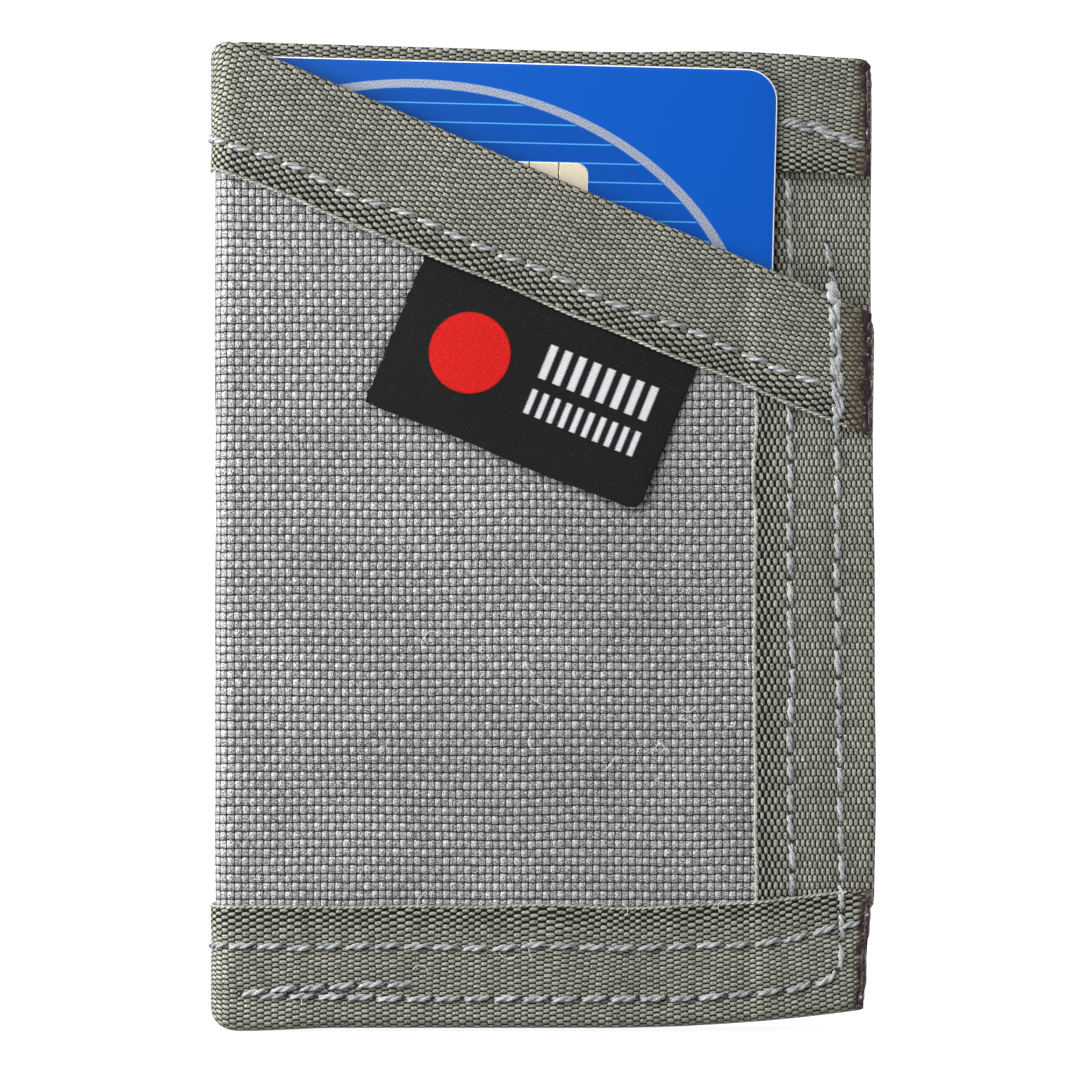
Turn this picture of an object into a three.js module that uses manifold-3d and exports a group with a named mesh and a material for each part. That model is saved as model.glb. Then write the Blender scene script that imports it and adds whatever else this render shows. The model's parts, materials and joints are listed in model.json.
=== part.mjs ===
// Bifold wallet in coarse plain-weave nylon, bound with folded ribbon, standing closed on its
// bottom edge with one card in the slanted front pocket.
// Frame: millimetres, +Z up, front face towards -Y, fold at -X, free edges at +X.

import * as THREE from "three";
import { mergeVertices } from "three/addons/utils/BufferGeometryUtils.js";
import Module from "manifold-3d";

const wasm = await Module();
wasm.setup();

// ---- Overall size
const halfWidth = 33.2;
const thickness = 10;
const foldHeight = 98.4;
const freeHeight = 96.5;
const foldRadius = 2.4;
const foldGap = 0.05;

// ---- Depths below the outer face of a half, from the outside in
const ribbonFace = 0;
const sideRibbonFace = 0.35;
const pocketFace = 0.7;
const pocketBack = 1.3;
const pocketRibbonBack = 1.6;
const cardFace = 1.62;
const shellRibbonFace = 2.55;
const shellFace = 2.85;
const shellBack = 3.35;
const shellRibbonBack = 3.65;
const innerRibbonFace = 3.65;
const innerPocketFace = 3.95;
const innerPocketBack = 4.35;
const innerRibbonBack = 4.65;

// ---- Ribbon bindings and thread
const ribbonEdge = 0.35;
const ribbonVisible = 11.7;
const bottomRibbonHeight = 12;
const shellRibbonHeight = 11.2;
const threadWidth = 0.6;
const threadProud = 0.25;
const shellThreadProud = 0.12;
const selvageToThread = 3;

// ---- Slanted mouth of the front pocket
const slantStart = -30;
const slantStartHeight = 98;
const mouthEndHeight = 71.2;
const slantSelvageFold = 86.2;
const slantSelvageStart = 84.9;
const slantSelvageEnd = 59;

// ---- Bottom edge: flat, then curling up towards the free corner
const curlStart = 6;
const curlRise = 2;
const curlSteps = 6;

// ---- Inner card pockets
const innerPocketLeft = -27;
const innerMouthHeight = 74;
const innerRibbonHeight = 11.5;

// ---- Card of the standard size, and its contact chip
const cardWidth = 53.98;
const cardHeight = 85.6;
const cardThickness = 0.76;
const cardCorner = 3.18;
const cardCentreX = -3.9;
const cardCentreZ = 53.8;
const cardTilt = THREE.MathUtils.degToRad(0.6);
const chipWidth = 11.8;
const chipHeight = 13;
const chipCorner = 1.5;
const chipDepth = 0.2;
const chipFromTop = 9.9;
const chipFromRight = 18.8;

// ---- Woven label, hung from the slanted selvage
const labelWidth = 29.2;
const labelDrop = 14.9;
const labelThickness = 0.3;
const labelDepth = 0.35;
const labelBelowSelvage = 0.5;
const labelCentreX = 1.8;
const labelCorner = 2.4;
const labelSmallCorner = 0.6;

// ---- Thread rows
const sideThreadX = 25;
const joinThreadX = 29.6;
const joinThreadTop = 74.2;
const joinThreadTurn = 3.4;
const joinTurnRadius = 2.5;
const innerThreadX = innerPocketLeft + 1.5;
const threadEndInset = 0.8;

const front = -1;
const back = 1;
const reach = 20;

const nylon = new THREE.MeshStandardMaterial({ color: 0x969896, roughness: 0.85, metalness: 0 });
const innerNylon = new THREE.MeshStandardMaterial({ color: 0x7d7f7c, roughness: 0.88, metalness: 0 });
const ribbon = new THREE.MeshStandardMaterial({ color: 0x78796c, roughness: 0.8, metalness: 0 });
const thread = new THREE.MeshStandardMaterial({ color: 0xbcbcc0, roughness: 0.6, metalness: 0 });
const labelCloth = new THREE.MeshStandardMaterial({ color: 0x292928, roughness: 0.7, metalness: 0 });
const cardPlastic = new THREE.MeshStandardMaterial({ color: 0x1d5fcd, roughness: 0.35, metalness: 0 });
const chipMetal = new THREE.MeshStandardMaterial({ color: 0xd8cfbe, roughness: 0.4, metalness: 0.6 });

// ---- Lines across the wallet, each a list of [x, z] from the fold to the free edge

const bottomLine = [[-halfWidth, 0], [curlStart, 0]];
for (let step = 1; step <= curlSteps; step += 1) {
  const share = step / curlSteps;
  bottomLine.push([curlStart + share * (halfWidth - curlStart), curlRise * share * share]);
}
const topLine = [[-halfWidth, foldHeight], [halfWidth, freeHeight]];
const slantLine = [[-halfWidth, foldHeight], [slantStart, slantStartHeight], [halfWidth, mouthEndHeight]];
const slantSelvage = [
  [-halfWidth, slantSelvageFold],
  [slantStart, slantSelvageStart],
  [halfWidth, slantSelvageEnd],
];
const straightSelvage = raised(topLine, foldHeight - slantSelvageFold, -1);
const innerMouthLine = [[innerPocketLeft, innerMouthHeight], [halfWidth, innerMouthHeight]];

function raised(line, rise, sign = 1) {
  return line.map(([x, z]) => [x, z + sign * rise]);
}

// Slope angle of the straight part of the slanted selvage.
const slantAngle = Math.atan2(slantSelvageEnd - slantSelvageStart, halfWidth - slantStart);

// ---- Solids

function solidOf(geometry) {
  geometry.deleteAttribute("normal");
  geometry.deleteAttribute("uv");
  const merged = mergeVertices(geometry, 1e-5);
  return new wasm.Manifold(new wasm.Mesh({
    numProp: 3,
    vertProperties: merged.attributes.position.array,
    triVerts: Uint32Array.from(merged.index.array),
  }));
}

function geometryOf(solid) {
  const mesh = solid.getMesh();
  const geometry = new THREE.BufferGeometry();
  geometry.setAttribute("position", new THREE.BufferAttribute(mesh.vertProperties, 3));
  geometry.setIndex(new THREE.BufferAttribute(mesh.triVerts, 1));
  const shaded = geometry.toNonIndexed();
  shaded.computeVertexNormals();
  return shaded;
}

function shapeOf(points) {
  return new THREE.Shape(points.map(([x, y]) => new THREE.Vector2(x, y)));
}

// A plan outline (x, y) carried up through the whole height.
function standing(shape) {
  const geometry = new THREE.ExtrudeGeometry(shape, { depth: foldHeight + 2 * reach, bevelEnabled: false });
  geometry.translate(0, 0, -reach);
  return solidOf(geometry);
}

// A front outline (x, z) carried through the depth from y = near to y = far.
function facing(shape, near = -reach, far = reach) {
  const geometry = new THREE.ExtrudeGeometry(shape, { depth: far - near, bevelEnabled: false });
  const toFront = new THREE.Matrix4().makeBasis(
    new THREE.Vector3(1, 0, 0),
    new THREE.Vector3(0, 0, 1),
    new THREE.Vector3(0, -1, 0),
  );
  geometry.applyMatrix4(toFront);
  geometry.translate(0, far, 0);
  return solidOf(geometry);
}

// The y range of a layer of one half, given by its depths below the outer face.
function layerRange(side, outer, inner) {
  const outerY = side * (thickness / 2 - outer);
  const innerY = side * (thickness / 2 - inner);
  return [Math.min(outerY, innerY), Math.max(outerY, innerY)];
}

// A flat layer of one half with a front outline.
function layer(side, shape, outer, inner) {
  const [near, far] = layerRange(side, outer, inner);
  return facing(shape, near, far);
}

// Plan path of a sheet at one depth: along the front, round the fold and along the back.
function wrapPath(depth, freeEdge) {
  const inset = Math.max(foldRadius, depth);
  const radius = Math.max(foldRadius - depth, 0);
  const arcSteps = radius > 0 ? 6 : 0;
  const points = [[freeEdge, -(thickness / 2 - depth)]];
  for (const side of [front, back]) {
    for (let step = 0; step <= arcSteps; step += 1) {
      const share = arcSteps > 0 ? step / arcSteps : 0;
      const angle = (Math.PI / 2) * (side === front ? 1 - share : share);
      points.push([
        -halfWidth + inset - radius * Math.cos(angle),
        side * (thickness / 2 - inset + radius * Math.sin(angle)),
      ]);
    }
  }
  points.push([freeEdge, thickness / 2 - depth]);
  return points;
}

// A sheet between two depths, wrapped round the fold over both halves.
function wrap(outer, inner, freeEdge = halfWidth) {
  return standing(shapeOf([...wrapPath(outer, freeEdge), ...wrapPath(inner, freeEdge).reverse()]));
}

// The mitre planes through the fold's corners part the wallet into front, spine and back.
const foldMiddle = [-halfWidth + thickness / 2, 0];

function mitreEnd(side) {
  return [-halfWidth - 1, side * (thickness / 2 + 1)];
}

function halfZone(side) {
  const corners = [mitreEnd(side), foldMiddle, [halfWidth + reach, 0], [halfWidth + reach, side * reach]];
  return standing(shapeOf(corners.map(([x, y]) => [x + foldGap, y])));
}

function spineZone() {
  const corners = [mitreEnd(front), foldMiddle, mitreEnd(back)];
  return standing(shapeOf(corners.map(([x, y]) => [x - foldGap, y])));
}

const zones = { front: halfZone(front), spine: spineZone(), back: halfZone(back) };

// Front outline between two lines that run from the fold to the free edge.
function between(lower, upper) {
  return facing(shapeOf([...lower, ...[...upper].reverse()]));
}

// A panel wrapped round the fold, cut to one zone.
function panel(zone, outer, inner, lower, upper) {
  const sheet = wrap(outer, inner, halfWidth - ribbonEdge);
  return sheet.intersect(between(lower, upper)).intersect(zones[zone]);
}

// A ribbon folded over the upper edge of a sheet: two legs joined along the edge line.
function edgeBinding(zone, outer, coreOuter, coreInner, inner, selvage, edge) {
  const outside = wrap(outer, inner).intersect(between(selvage, edge));
  const core = between(raised(selvage, -reach), raised(edge, -ribbonEdge));
  const slot = wrap(coreOuter, coreInner, halfWidth + reach).intersect(core);
  return outside.subtract(slot).intersect(zones[zone]);
}

// The ribbon folded under the bottom edges of all the layers of a zone.
function bottomBinding(zone) {
  const selvage = raised(bottomLine, bottomRibbonHeight);
  const outside = wrap(ribbonFace, innerRibbonBack).intersect(between(bottomLine, selvage));
  const core = between(raised(bottomLine, ribbonEdge), raised(selvage, reach));
  const slot = wrap(pocketFace, innerPocketBack, halfWidth + reach).intersect(core);
  return outside.subtract(slot).intersect(zones[zone]);
}

// A ribbon folded over the free edge of one half, upright.
function sideBinding(side, outer, coreOuter, coreInner, inner, lower, upper) {
  const left = halfWidth - ribbonVisible;
  const outside = shapeOf([[left, -reach], [halfWidth, -reach], [halfWidth, reach * 6], [left, reach * 6]]);
  const inside = shapeOf([
    [-halfWidth, -reach],
    [halfWidth - ribbonEdge, -reach],
    [halfWidth - ribbonEdge, reach * 6],
    [-halfWidth, reach * 6],
  ]);
  const legs = layer(side, outside, outer, inner).subtract(layer(side, inside, coreOuter, coreInner));
  return legs.intersect(between(lower, upper));
}

// Front outline of a thread row: a path widened to the thread's width.
function threadOutline(path) {
  const points = path.map(([x, z]) => new THREE.Vector2(x, z));
  const leftSide = [];
  const rightSide = [];
  points.forEach((point, index) => {
    const before = points[Math.max(index - 1, 0)];
    const after = points[Math.min(index + 1, points.length - 1)];
    const along = after.clone().sub(before).normalize();
    const across = new THREE.Vector2(-along.y, along.x).multiplyScalar(threadWidth / 2);
    leftSide.push(point.clone().add(across));
    rightSide.push(point.clone().sub(across));
  });
  return new THREE.Shape([...leftSide, ...rightSide.reverse()]);
}

// A row of stitches standing proud of the layers that it passes over.
function threadRow(side, path, outer, inner, layersBelow) {
  let row = layer(side, threadOutline(path), outer, inner);
  for (const below of layersBelow) {
    row = row.subtract(below);
  }
  return row;
}

function roundedShape(left, bottom, width, height, radii) {
  const [bottomLeft, bottomRight, topRight, topLeft] = radii;
  const right = left + width;
  const top = bottom + height;
  const shape = new THREE.Shape();
  shape.moveTo(left + bottomLeft, bottom);
  shape.lineTo(right - bottomRight, bottom);
  shape.absarc(right - bottomRight, bottom + bottomRight, bottomRight, -Math.PI / 2, 0, false);
  shape.lineTo(right, top - topRight);
  shape.absarc(right - topRight, top - topRight, topRight, 0, Math.PI / 2, false);
  shape.lineTo(left + topLeft, top);
  shape.absarc(left + topLeft, top - topLeft, topLeft, Math.PI / 2, Math.PI, false);
  shape.lineTo(left, bottom + bottomLeft);
  shape.absarc(left + bottomLeft, bottom + bottomLeft, bottomLeft, Math.PI, Math.PI * 1.5, false);
  return shape;
}

function addPiece(group, name, solid, material) {
  const mesh = new THREE.Mesh(geometryOf(solid), material);
  mesh.name = name;
  group.add(mesh);
  return mesh;
}

// ---- One half: outer pocket, shell, inner pocket, their bindings and thread rows

const panelBottom = raised(bottomLine, ribbonEdge);

function buildHalf(side, sideName, mouthLine, mouthSelvage, mouthName) {
  const half = new THREE.Group();
  const shellTop = raised(topLine, -ribbonEdge);
  const shellSelvage = raised(topLine, -shellRibbonHeight);

  const pocket = panel(sideName, pocketFace, pocketBack, panelBottom, raised(mouthLine, -ribbonEdge));
  const pocketSide = sideBinding(
    side, sideRibbonFace, pocketFace, pocketBack, pocketRibbonBack,
    panelBottom, raised(mouthLine, -ribbonEdge),
  );
  const mouth = edgeBinding(
    sideName, ribbonFace, pocketFace, pocketBack, pocketRibbonBack, mouthSelvage, mouthLine,
  ).subtract(pocketSide);
  const bottom = bottomBinding(sideName).subtract(pocketSide);
  addPiece(half, `outer_pocket_panel_${sideName}`, pocket, nylon);
  addPiece(half, `pocket_side_binding_${sideName}`, pocketSide, ribbon);
  addPiece(half, `${mouthName}_binding_${sideName}`, mouth, ribbon);
  addPiece(half, `bottom_binding_${sideName}`, bottom, ribbon);

  const shell = panel(sideName, shellFace, shellBack, panelBottom, shellTop);
  const shellSide = sideBinding(
    side, shellRibbonFace, shellFace, innerPocketBack, innerRibbonBack, panelBottom, shellSelvage,
  ).subtract(bottom);
  const shellTopBinding = edgeBinding(
    sideName, shellRibbonFace, shellFace, shellBack, shellRibbonBack, shellSelvage, topLine,
  );
  addPiece(half, `shell_panel_${sideName}`, shell, nylon);
  addPiece(half, `shell_side_binding_${sideName}`, shellSide, ribbon);
  addPiece(half, `shell_top_binding_${sideName}`, shellTopBinding, ribbon);

  const innerRight = halfWidth - ribbonEdge;
  const innerPocket = layer(
    side,
    shapeOf([
      [innerPocketLeft, ribbonEdge],
      [curlStart, ribbonEdge],
      [innerRight, ribbonEdge + curlRise],
      [innerRight, innerMouthHeight - ribbonEdge],
      [innerPocketLeft, innerMouthHeight - ribbonEdge],
    ]),
    innerPocketFace, innerPocketBack,
  );
  const innerBand = shapeOf([
    [innerPocketLeft, innerMouthHeight - innerRibbonHeight],
    [halfWidth - ribbonVisible, innerMouthHeight - innerRibbonHeight],
    [halfWidth - ribbonVisible, innerMouthHeight],
    [innerPocketLeft, innerMouthHeight],
  ]);
  const innerBinding = layer(side, innerBand, innerRibbonFace, innerRibbonBack).subtract(innerPocket);
  addPiece(half, `inner_pocket_panel_${sideName}`, innerPocket, innerNylon);
  addPiece(half, `inner_pocket_binding_${sideName}`, innerBinding, ribbon);

  const flatStart = -halfWidth + foldRadius;
  const rowEnd = joinThreadX - threadWidth;
  const outside = [pocket, pocketSide, mouth, bottom];
  const mouthRow = raised(mouthSelvage, selvageToThread).map(([x, z]) => [
    THREE.MathUtils.clamp(x, flatStart, rowEnd), z,
  ]);
  const bottomRow = raised(bottomLine, bottomRibbonHeight - selvageToThread - 1).map(([x, z]) => [
    THREE.MathUtils.clamp(x, flatStart, rowEnd), z,
  ]);
  const sideRowTop = mouthSelvage[mouthSelvage.length - 1][1] + 2;
  const sideRow = [[sideThreadX, bottomRibbonHeight + 0.5], [sideThreadX, sideRowTop]];
  const joinRow = [[joinThreadX, side === front ? joinThreadTop - 3 : innerMouthHeight]];
  const turnSteps = 4;
  for (let step = 0; step <= turnSteps; step += 1) {
    const angle = (-Math.PI / 2) * (step / turnSteps);
    joinRow.push([
      joinThreadX - joinTurnRadius + joinTurnRadius * Math.cos(angle),
      joinThreadTurn + joinTurnRadius + joinTurnRadius * Math.sin(angle),
    ]);
  }
  joinRow.push([flatStart, joinThreadTurn - 0.4]);
  const proud = -threadProud;
  addPiece(half, `${mouthName}_stitching_${sideName}`,
    threadRow(side, mouthRow, proud, pocketFace, outside), thread);
  addPiece(half, `bottom_stitching_${sideName}`,
    threadRow(side, bottomRow, proud, pocketFace, outside), thread);
  addPiece(half, `side_stitching_${sideName}`,
    threadRow(side, sideRow, sideRibbonFace - threadProud, pocketFace, outside), thread);
  addPiece(half, `join_stitching_${sideName}`,
    threadRow(side, joinRow, proud, pocketFace, outside), thread);

  const shellTopRow = [[flatStart + 3, foldHeight - 8.3], [halfWidth - threadEndInset, freeHeight - 8.3]];
  addPiece(half, `shell_top_stitching_${sideName}`,
    threadRow(side, shellTopRow, shellRibbonFace - shellThreadProud, shellRibbonFace, []), thread);

  const innerRow = [[innerThreadX, innerMouthHeight - 1], [innerThreadX, bottomRibbonHeight + 1]];
  const innerMouthRow = [
    [innerThreadX + 2, innerMouthHeight - innerRibbonHeight + selvageToThread],
    [halfWidth - ribbonVisible - 1, innerMouthHeight - innerRibbonHeight + selvageToThread],
  ];
  const innerProud = innerRibbonBack + shellThreadProud;
  addPiece(half, `inner_pocket_stitching_${sideName}`,
    threadRow(side, innerRow, innerPocketBack, innerProud, [innerPocket, innerBinding]), thread);
  addPiece(half, `inner_mouth_stitching_${sideName}`,
    threadRow(side, innerMouthRow, innerRibbonBack, innerProud, []), thread);
  return half;
}

// ---- The spine: the same wrapped sheets between the two folds

function buildSpine() {
  const spine = new THREE.Group();
  const slantTop = raised(slantLine, -ribbonEdge);
  const shellTop = raised(topLine, -ribbonEdge);
  const shellSelvage = raised(topLine, -shellRibbonHeight);
  addPiece(spine, "outer_pocket_panel_spine",
    panel("spine", pocketFace, pocketBack, panelBottom, slantTop), nylon);
  addPiece(spine, "shell_panel_spine", panel("spine", shellFace, shellBack, panelBottom, shellTop), nylon);
  addPiece(spine, "mouth_binding_spine", edgeBinding(
    "spine", ribbonFace, pocketFace, pocketBack, pocketRibbonBack, slantSelvage, slantLine,
  ), ribbon);
  addPiece(spine, "shell_top_binding_spine", edgeBinding(
    "spine", shellRibbonFace, shellFace, shellBack, shellRibbonBack, shellSelvage, topLine,
  ), ribbon);
  addPiece(spine, "bottom_binding_spine", bottomBinding("spine"), ribbon);

  const rowLength = thickness - 2 * foldRadius;
  const heights = {
    mouth_stitching_spine: slantSelvageFold + selvageToThread,
    bottom_stitching_spine: bottomRibbonHeight - selvageToThread - 1,
  };
  for (const [name, height] of Object.entries(heights)) {
    const bar = new THREE.BoxGeometry(threadProud, rowLength, threadWidth);
    const row = new THREE.Mesh(bar, thread);
    row.name = name;
    row.position.set(-halfWidth - threadProud / 2, 0, height);
    spine.add(row);
  }
  return spine;
}

// ---- The card: a tilted group, so that the card's long edges are the group's local Z

function buildCard() {
  const card = new THREE.Group();
  const outerY = -(thickness / 2 - cardFace);
  const outline = roundedShape(
    -cardWidth / 2, -cardHeight / 2, cardWidth, cardHeight, [cardCorner, cardCorner, cardCorner, cardCorner],
  );
  const chipOutline = roundedShape(
    cardWidth / 2 - chipFromRight - chipWidth, cardHeight / 2 - chipFromTop - chipHeight,
    chipWidth, chipHeight, [chipCorner, chipCorner, chipCorner, chipCorner],
  );
  const chip = facing(chipOutline, 0, chipDepth);
  addPiece(card, "card_body", facing(outline, 0, cardThickness).subtract(chip), cardPlastic);
  addPiece(card, "card_chip", chip, chipMetal);
  card.position.set(cardCentreX, outerY, cardCentreZ);
  card.rotation.y = cardTilt;
  return card;
}

// ---- The label: hung from a hinge line just below the slanted selvage

function buildLabel() {
  const label = new THREE.Group();
  const outline = roundedShape(
    -labelWidth / 2, -labelDrop, labelWidth, labelDrop, [labelSmallCorner, labelCorner, 0.1, 0.1],
  );
  addPiece(label, "woven_label", facing(outline, -labelThickness / 2, labelThickness / 2), labelCloth);
  const selvageHeight = slantSelvageStart + Math.tan(slantAngle) * (labelCentreX - slantStart);
  label.position.set(
    labelCentreX + labelBelowSelvage * Math.sin(slantAngle),
    -(thickness / 2 - labelDepth),
    selvageHeight - labelBelowSelvage * Math.cos(slantAngle),
  );
  label.rotation.y = -slantAngle;
  return label;
}

const group = new THREE.Group();
group.add(buildHalf(back, "back", topLine, straightSelvage, "mouth"));
group.add(buildSpine());
group.add(buildHalf(front, "front", slantLine, slantSelvage, "slant_mouth"));
group.add(buildCard());
group.add(buildLabel());

export default group;
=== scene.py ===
"""Bifold wallet in woven nylon with ribbon bindings: cloth, stitching, label and card over the CAD frame.

Lengths are millimetres until a mesh is made, and metres after that. A place on one half is given by
x and z in the frame and by depth, the distance below that half's outer face.
"""
import json
import math

import bpy
import numpy as np
from mathutils import Matrix, Vector


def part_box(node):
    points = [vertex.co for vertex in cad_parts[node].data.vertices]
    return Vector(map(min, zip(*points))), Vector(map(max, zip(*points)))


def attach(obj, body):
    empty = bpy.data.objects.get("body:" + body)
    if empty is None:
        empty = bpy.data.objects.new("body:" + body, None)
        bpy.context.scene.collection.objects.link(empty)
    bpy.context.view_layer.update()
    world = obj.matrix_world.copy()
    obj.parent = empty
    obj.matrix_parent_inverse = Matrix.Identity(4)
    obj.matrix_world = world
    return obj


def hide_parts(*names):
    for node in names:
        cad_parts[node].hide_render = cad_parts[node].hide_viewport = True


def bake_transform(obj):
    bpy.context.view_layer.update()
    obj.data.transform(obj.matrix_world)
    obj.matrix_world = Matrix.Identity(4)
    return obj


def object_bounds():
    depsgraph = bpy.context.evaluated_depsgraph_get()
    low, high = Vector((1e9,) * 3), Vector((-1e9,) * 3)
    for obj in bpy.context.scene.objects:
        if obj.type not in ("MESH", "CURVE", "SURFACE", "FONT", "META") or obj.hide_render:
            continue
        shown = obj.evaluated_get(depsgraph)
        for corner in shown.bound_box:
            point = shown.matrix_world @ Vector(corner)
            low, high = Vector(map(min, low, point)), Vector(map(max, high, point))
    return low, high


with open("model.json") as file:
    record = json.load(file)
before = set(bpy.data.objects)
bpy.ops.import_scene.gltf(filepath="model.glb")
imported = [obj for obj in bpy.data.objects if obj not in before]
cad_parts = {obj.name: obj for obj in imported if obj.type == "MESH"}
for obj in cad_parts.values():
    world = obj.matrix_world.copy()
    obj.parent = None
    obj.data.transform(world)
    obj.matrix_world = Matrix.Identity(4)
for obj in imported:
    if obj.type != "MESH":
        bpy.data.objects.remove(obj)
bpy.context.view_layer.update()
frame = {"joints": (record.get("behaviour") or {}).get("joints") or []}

MM = 0.001

# ---- Driving sizes (mm), most of them from the frame ----


def corner_mm(node, end, axis):
    """One coordinate of a node's box: end 0 is the low corner and 1 the high one."""
    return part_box(node)[end][axis] / MM


HALF_WIDTH = corner_mm("bottom_binding_front", 1, 0)
HALF_THICK = -corner_mm("bottom_binding_front", 0, 1)
FOLD_TOP = corner_mm("slant_mouth_binding_front", 1, 2)
SLANT_END_SELVAGE = corner_mm("slant_mouth_binding_front", 0, 2)
PANEL_TOP = corner_mm("shell_top_binding_front", 1, 2)
TOP_SLOPE = -1.9 / (2 * HALF_WIDTH)
JOINTS = {joint["name"]: joint for joint in frame["joints"]}
FOLD_RADIUS = (JOINTS["front_fold"]["pos_m"][0] / MM + HALF_WIDTH) / (1 - math.cos(math.pi / 4))
RIBBON_LEFT = corner_mm("pocket_side_binding_front", 0, 0)
INNER_LEFT = corner_mm("inner_pocket_panel_front", 0, 0)
INNER_TOP = corner_mm("inner_pocket_binding_front", 1, 2)
BOTTOM_HEIGHT = corner_mm("bottom_binding_spine", 1, 2)
CURL_START = 6.0
CURL_RISE = corner_mm("bottom_binding_front", 1, 2) - BOTTOM_HEIGHT

FRONT, BACK = -1, 1
SIDE_BODY = {FRONT: "front_half", BACK: "back_half"}
SIDE_NAME = {FRONT: "front", BACK: "back"}

# ---- Cloth, thread and card sizes (mm) ----

RIBBON_THICK = 0.42
PANEL_THICK = 0.5
RIBBON_WIDTH = 12.0
SHELL_TOP_WIDTH = 11.2
INNER_LEG_WIDTH = 10.5
INNER_MOUTH_WIDTH = 11.3
PANEL_INSET = 0.9
PANEL_RIGHT = HALF_WIDTH - 0.8
INNER_RIGHT = HALF_WIDTH - 0.9
BOTTOM_CUT_LEAN = 0.8
COLUMN_STEP = 0.4
STITCH_PITCH = 2.93
STITCH_GAP = 0.38
THREAD_RADIUS = 0.18
HOLE_RADIUS = 0.25
SEAM_OFFSET = 3.0
FLOAT_ROW = 0.705
FLOAT_PITCH = 0.5
FLOAT_PITCH_EDGE = 0.65
CARD_WIDTH, CARD_HEIGHT, CARD_CORNER = 53.98, 85.6, 3.18
CARD_HALF = 0.38
CHIP_WIDTH, CHIP_HEIGHT, CHIP_CORNER = 11.8, 13.0, 1.2
CHIP_OFFSET = (CARD_WIDTH / 2 - 18.8 - CHIP_WIDTH / 2, CARD_HEIGHT / 2 - 9.9 - CHIP_HEIGHT / 2)
CHIP_GROOVE_X = 2.3

# Depth of the middle of each layer.
SLANT_DEPTH = 0.58
OVERLAP_LIFT = 0.42
SIDE_DEPTH = 0.6
POCKET_DEPTH = 1.06
POCKET_INNER_LEG = 1.45
SHELL_OUTER_LEG = 2.72
SHELL_SIDE_DEPTH = SHELL_OUTER_LEG + 0.1
SHELL_DEPTH = 3.1
SHELL_INNER_LEG = 3.5
INNER_POCKET_DEPTH = 4.12
INNER_FRONT_LEG = 3.85
INNER_BACK_LEG = 4.5

# ---- Small maths ----


def smooth(start, end, value):
    """0 before start, 1 after end and an S-curve between them."""
    share = np.clip((value - start) / (end - start), 0, 1)
    return share * share * (3 - 2 * share)


def soft_min(first, second, softness):
    """The lower of two curves, with a rounded change from one to the other."""
    low = np.minimum(first, second)
    rest = np.exp((low - first) / softness) + np.exp((low - second) / softness)
    return low - softness * np.log(rest)


def quarter_round(share):
    """How far a rounded corner falls away, 0 to 1, as share goes from 0 to 1."""
    return 1 - np.sqrt(1 - np.clip(share, 0, 1) ** 2)


def unit(vectors):
    return vectors / np.linalg.norm(vectors, axis=-1, keepdims=True)


def squared_gap(x, z, spots):
    """The squared distance from each point to the nearest of some spots."""
    return ((x[..., None] - spots[:, 0]) ** 2 + (z[..., None] - spots[:, 1]) ** 2).min(-1)


def path_lengths(points):
    """The length along a path at each of its points."""
    return np.concatenate([[0], np.cumsum(np.linalg.norm(np.diff(points, axis=0), axis=-1))])


def ripple(x, z, length, seed):
    """Smooth seeded noise of about -1 to 1 with features about length mm long."""
    source = np.random.default_rng(seed)
    total = 0
    for turn, phase, stretch in source.uniform(0, 1, (6, 3)):
        angle = 2 * math.pi * turn
        wave = (x * math.cos(angle) + z * math.sin(angle)) / (length * (0.6 + 0.9 * stretch))
        total = total + np.sin(2 * math.pi * (wave + phase))
    return total / 2.5


# ---- Outlines of one half: z at each x (mm) ----

SLANT_START_X = -30.0
SLANT_START_Z = FOLD_TOP - 0.4
SLANT_END_Z = SLANT_END_SELVAGE + 12.2
SLANT_SELVAGE_START_Z = FOLD_TOP - 13.5
KINK_SOFTNESS = 0.45


def on_face(x):
    """x, held at the fold's outermost place for points that lie round it."""
    return np.maximum(x, -HALF_WIDTH)


def fold_drop(x):
    """How far the top edges round down towards the fold."""
    return 2.0 * quarter_round((-HALF_WIDTH + 2.1 - x) / 2.1)


def shell_top(x):
    crown = 0.33 + 0.45 * np.exp(-(((x - 20) / 9) ** 2))
    corner_drop = 0.8 * quarter_round((x - HALF_WIDTH + 1.3) / 1.2)
    return PANEL_TOP + crown + TOP_SLOPE * (x + HALF_WIDTH) - fold_drop(x) - corner_drop


def shell_top_selvage(x):
    level = PANEL_TOP + 0.7 + TOP_SLOPE * (x + HALF_WIDTH) - SHELL_TOP_WIDTH
    return level - 0.9 * smooth(5, 45, x) + 0.08 * ripple(x, 0 * x, 9, 6)


def bottom_curl(x):
    return CURL_RISE * np.clip((x - CURL_START) / (HALF_WIDTH - CURL_START), 0, 1) ** 2


def bottom_edge(x):
    sag = 0.3 * smooth(-20, -30, x)
    return bottom_curl(x) - sag + 2.6 * quarter_round((-HALF_WIDTH + 3.0 - x) / 3.4)


def slanted(x, level, start_z, end_z):
    """A line that runs level round the fold and then slants down to the free edge."""
    slope = (end_z - start_z) / (HALF_WIDTH - SLANT_START_X)
    slant = start_z + slope * (x - SLANT_START_X)
    return soft_min(level - 0.05 * (x + HALF_WIDTH), slant, KINK_SOFTNESS)


def mouth_edge(side, x):
    if side == BACK:
        return shell_top(x) - 0.1
    return slanted(x, FOLD_TOP + 0.5, SLANT_START_Z + 0.3, SLANT_END_Z) - fold_drop(x)


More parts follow.
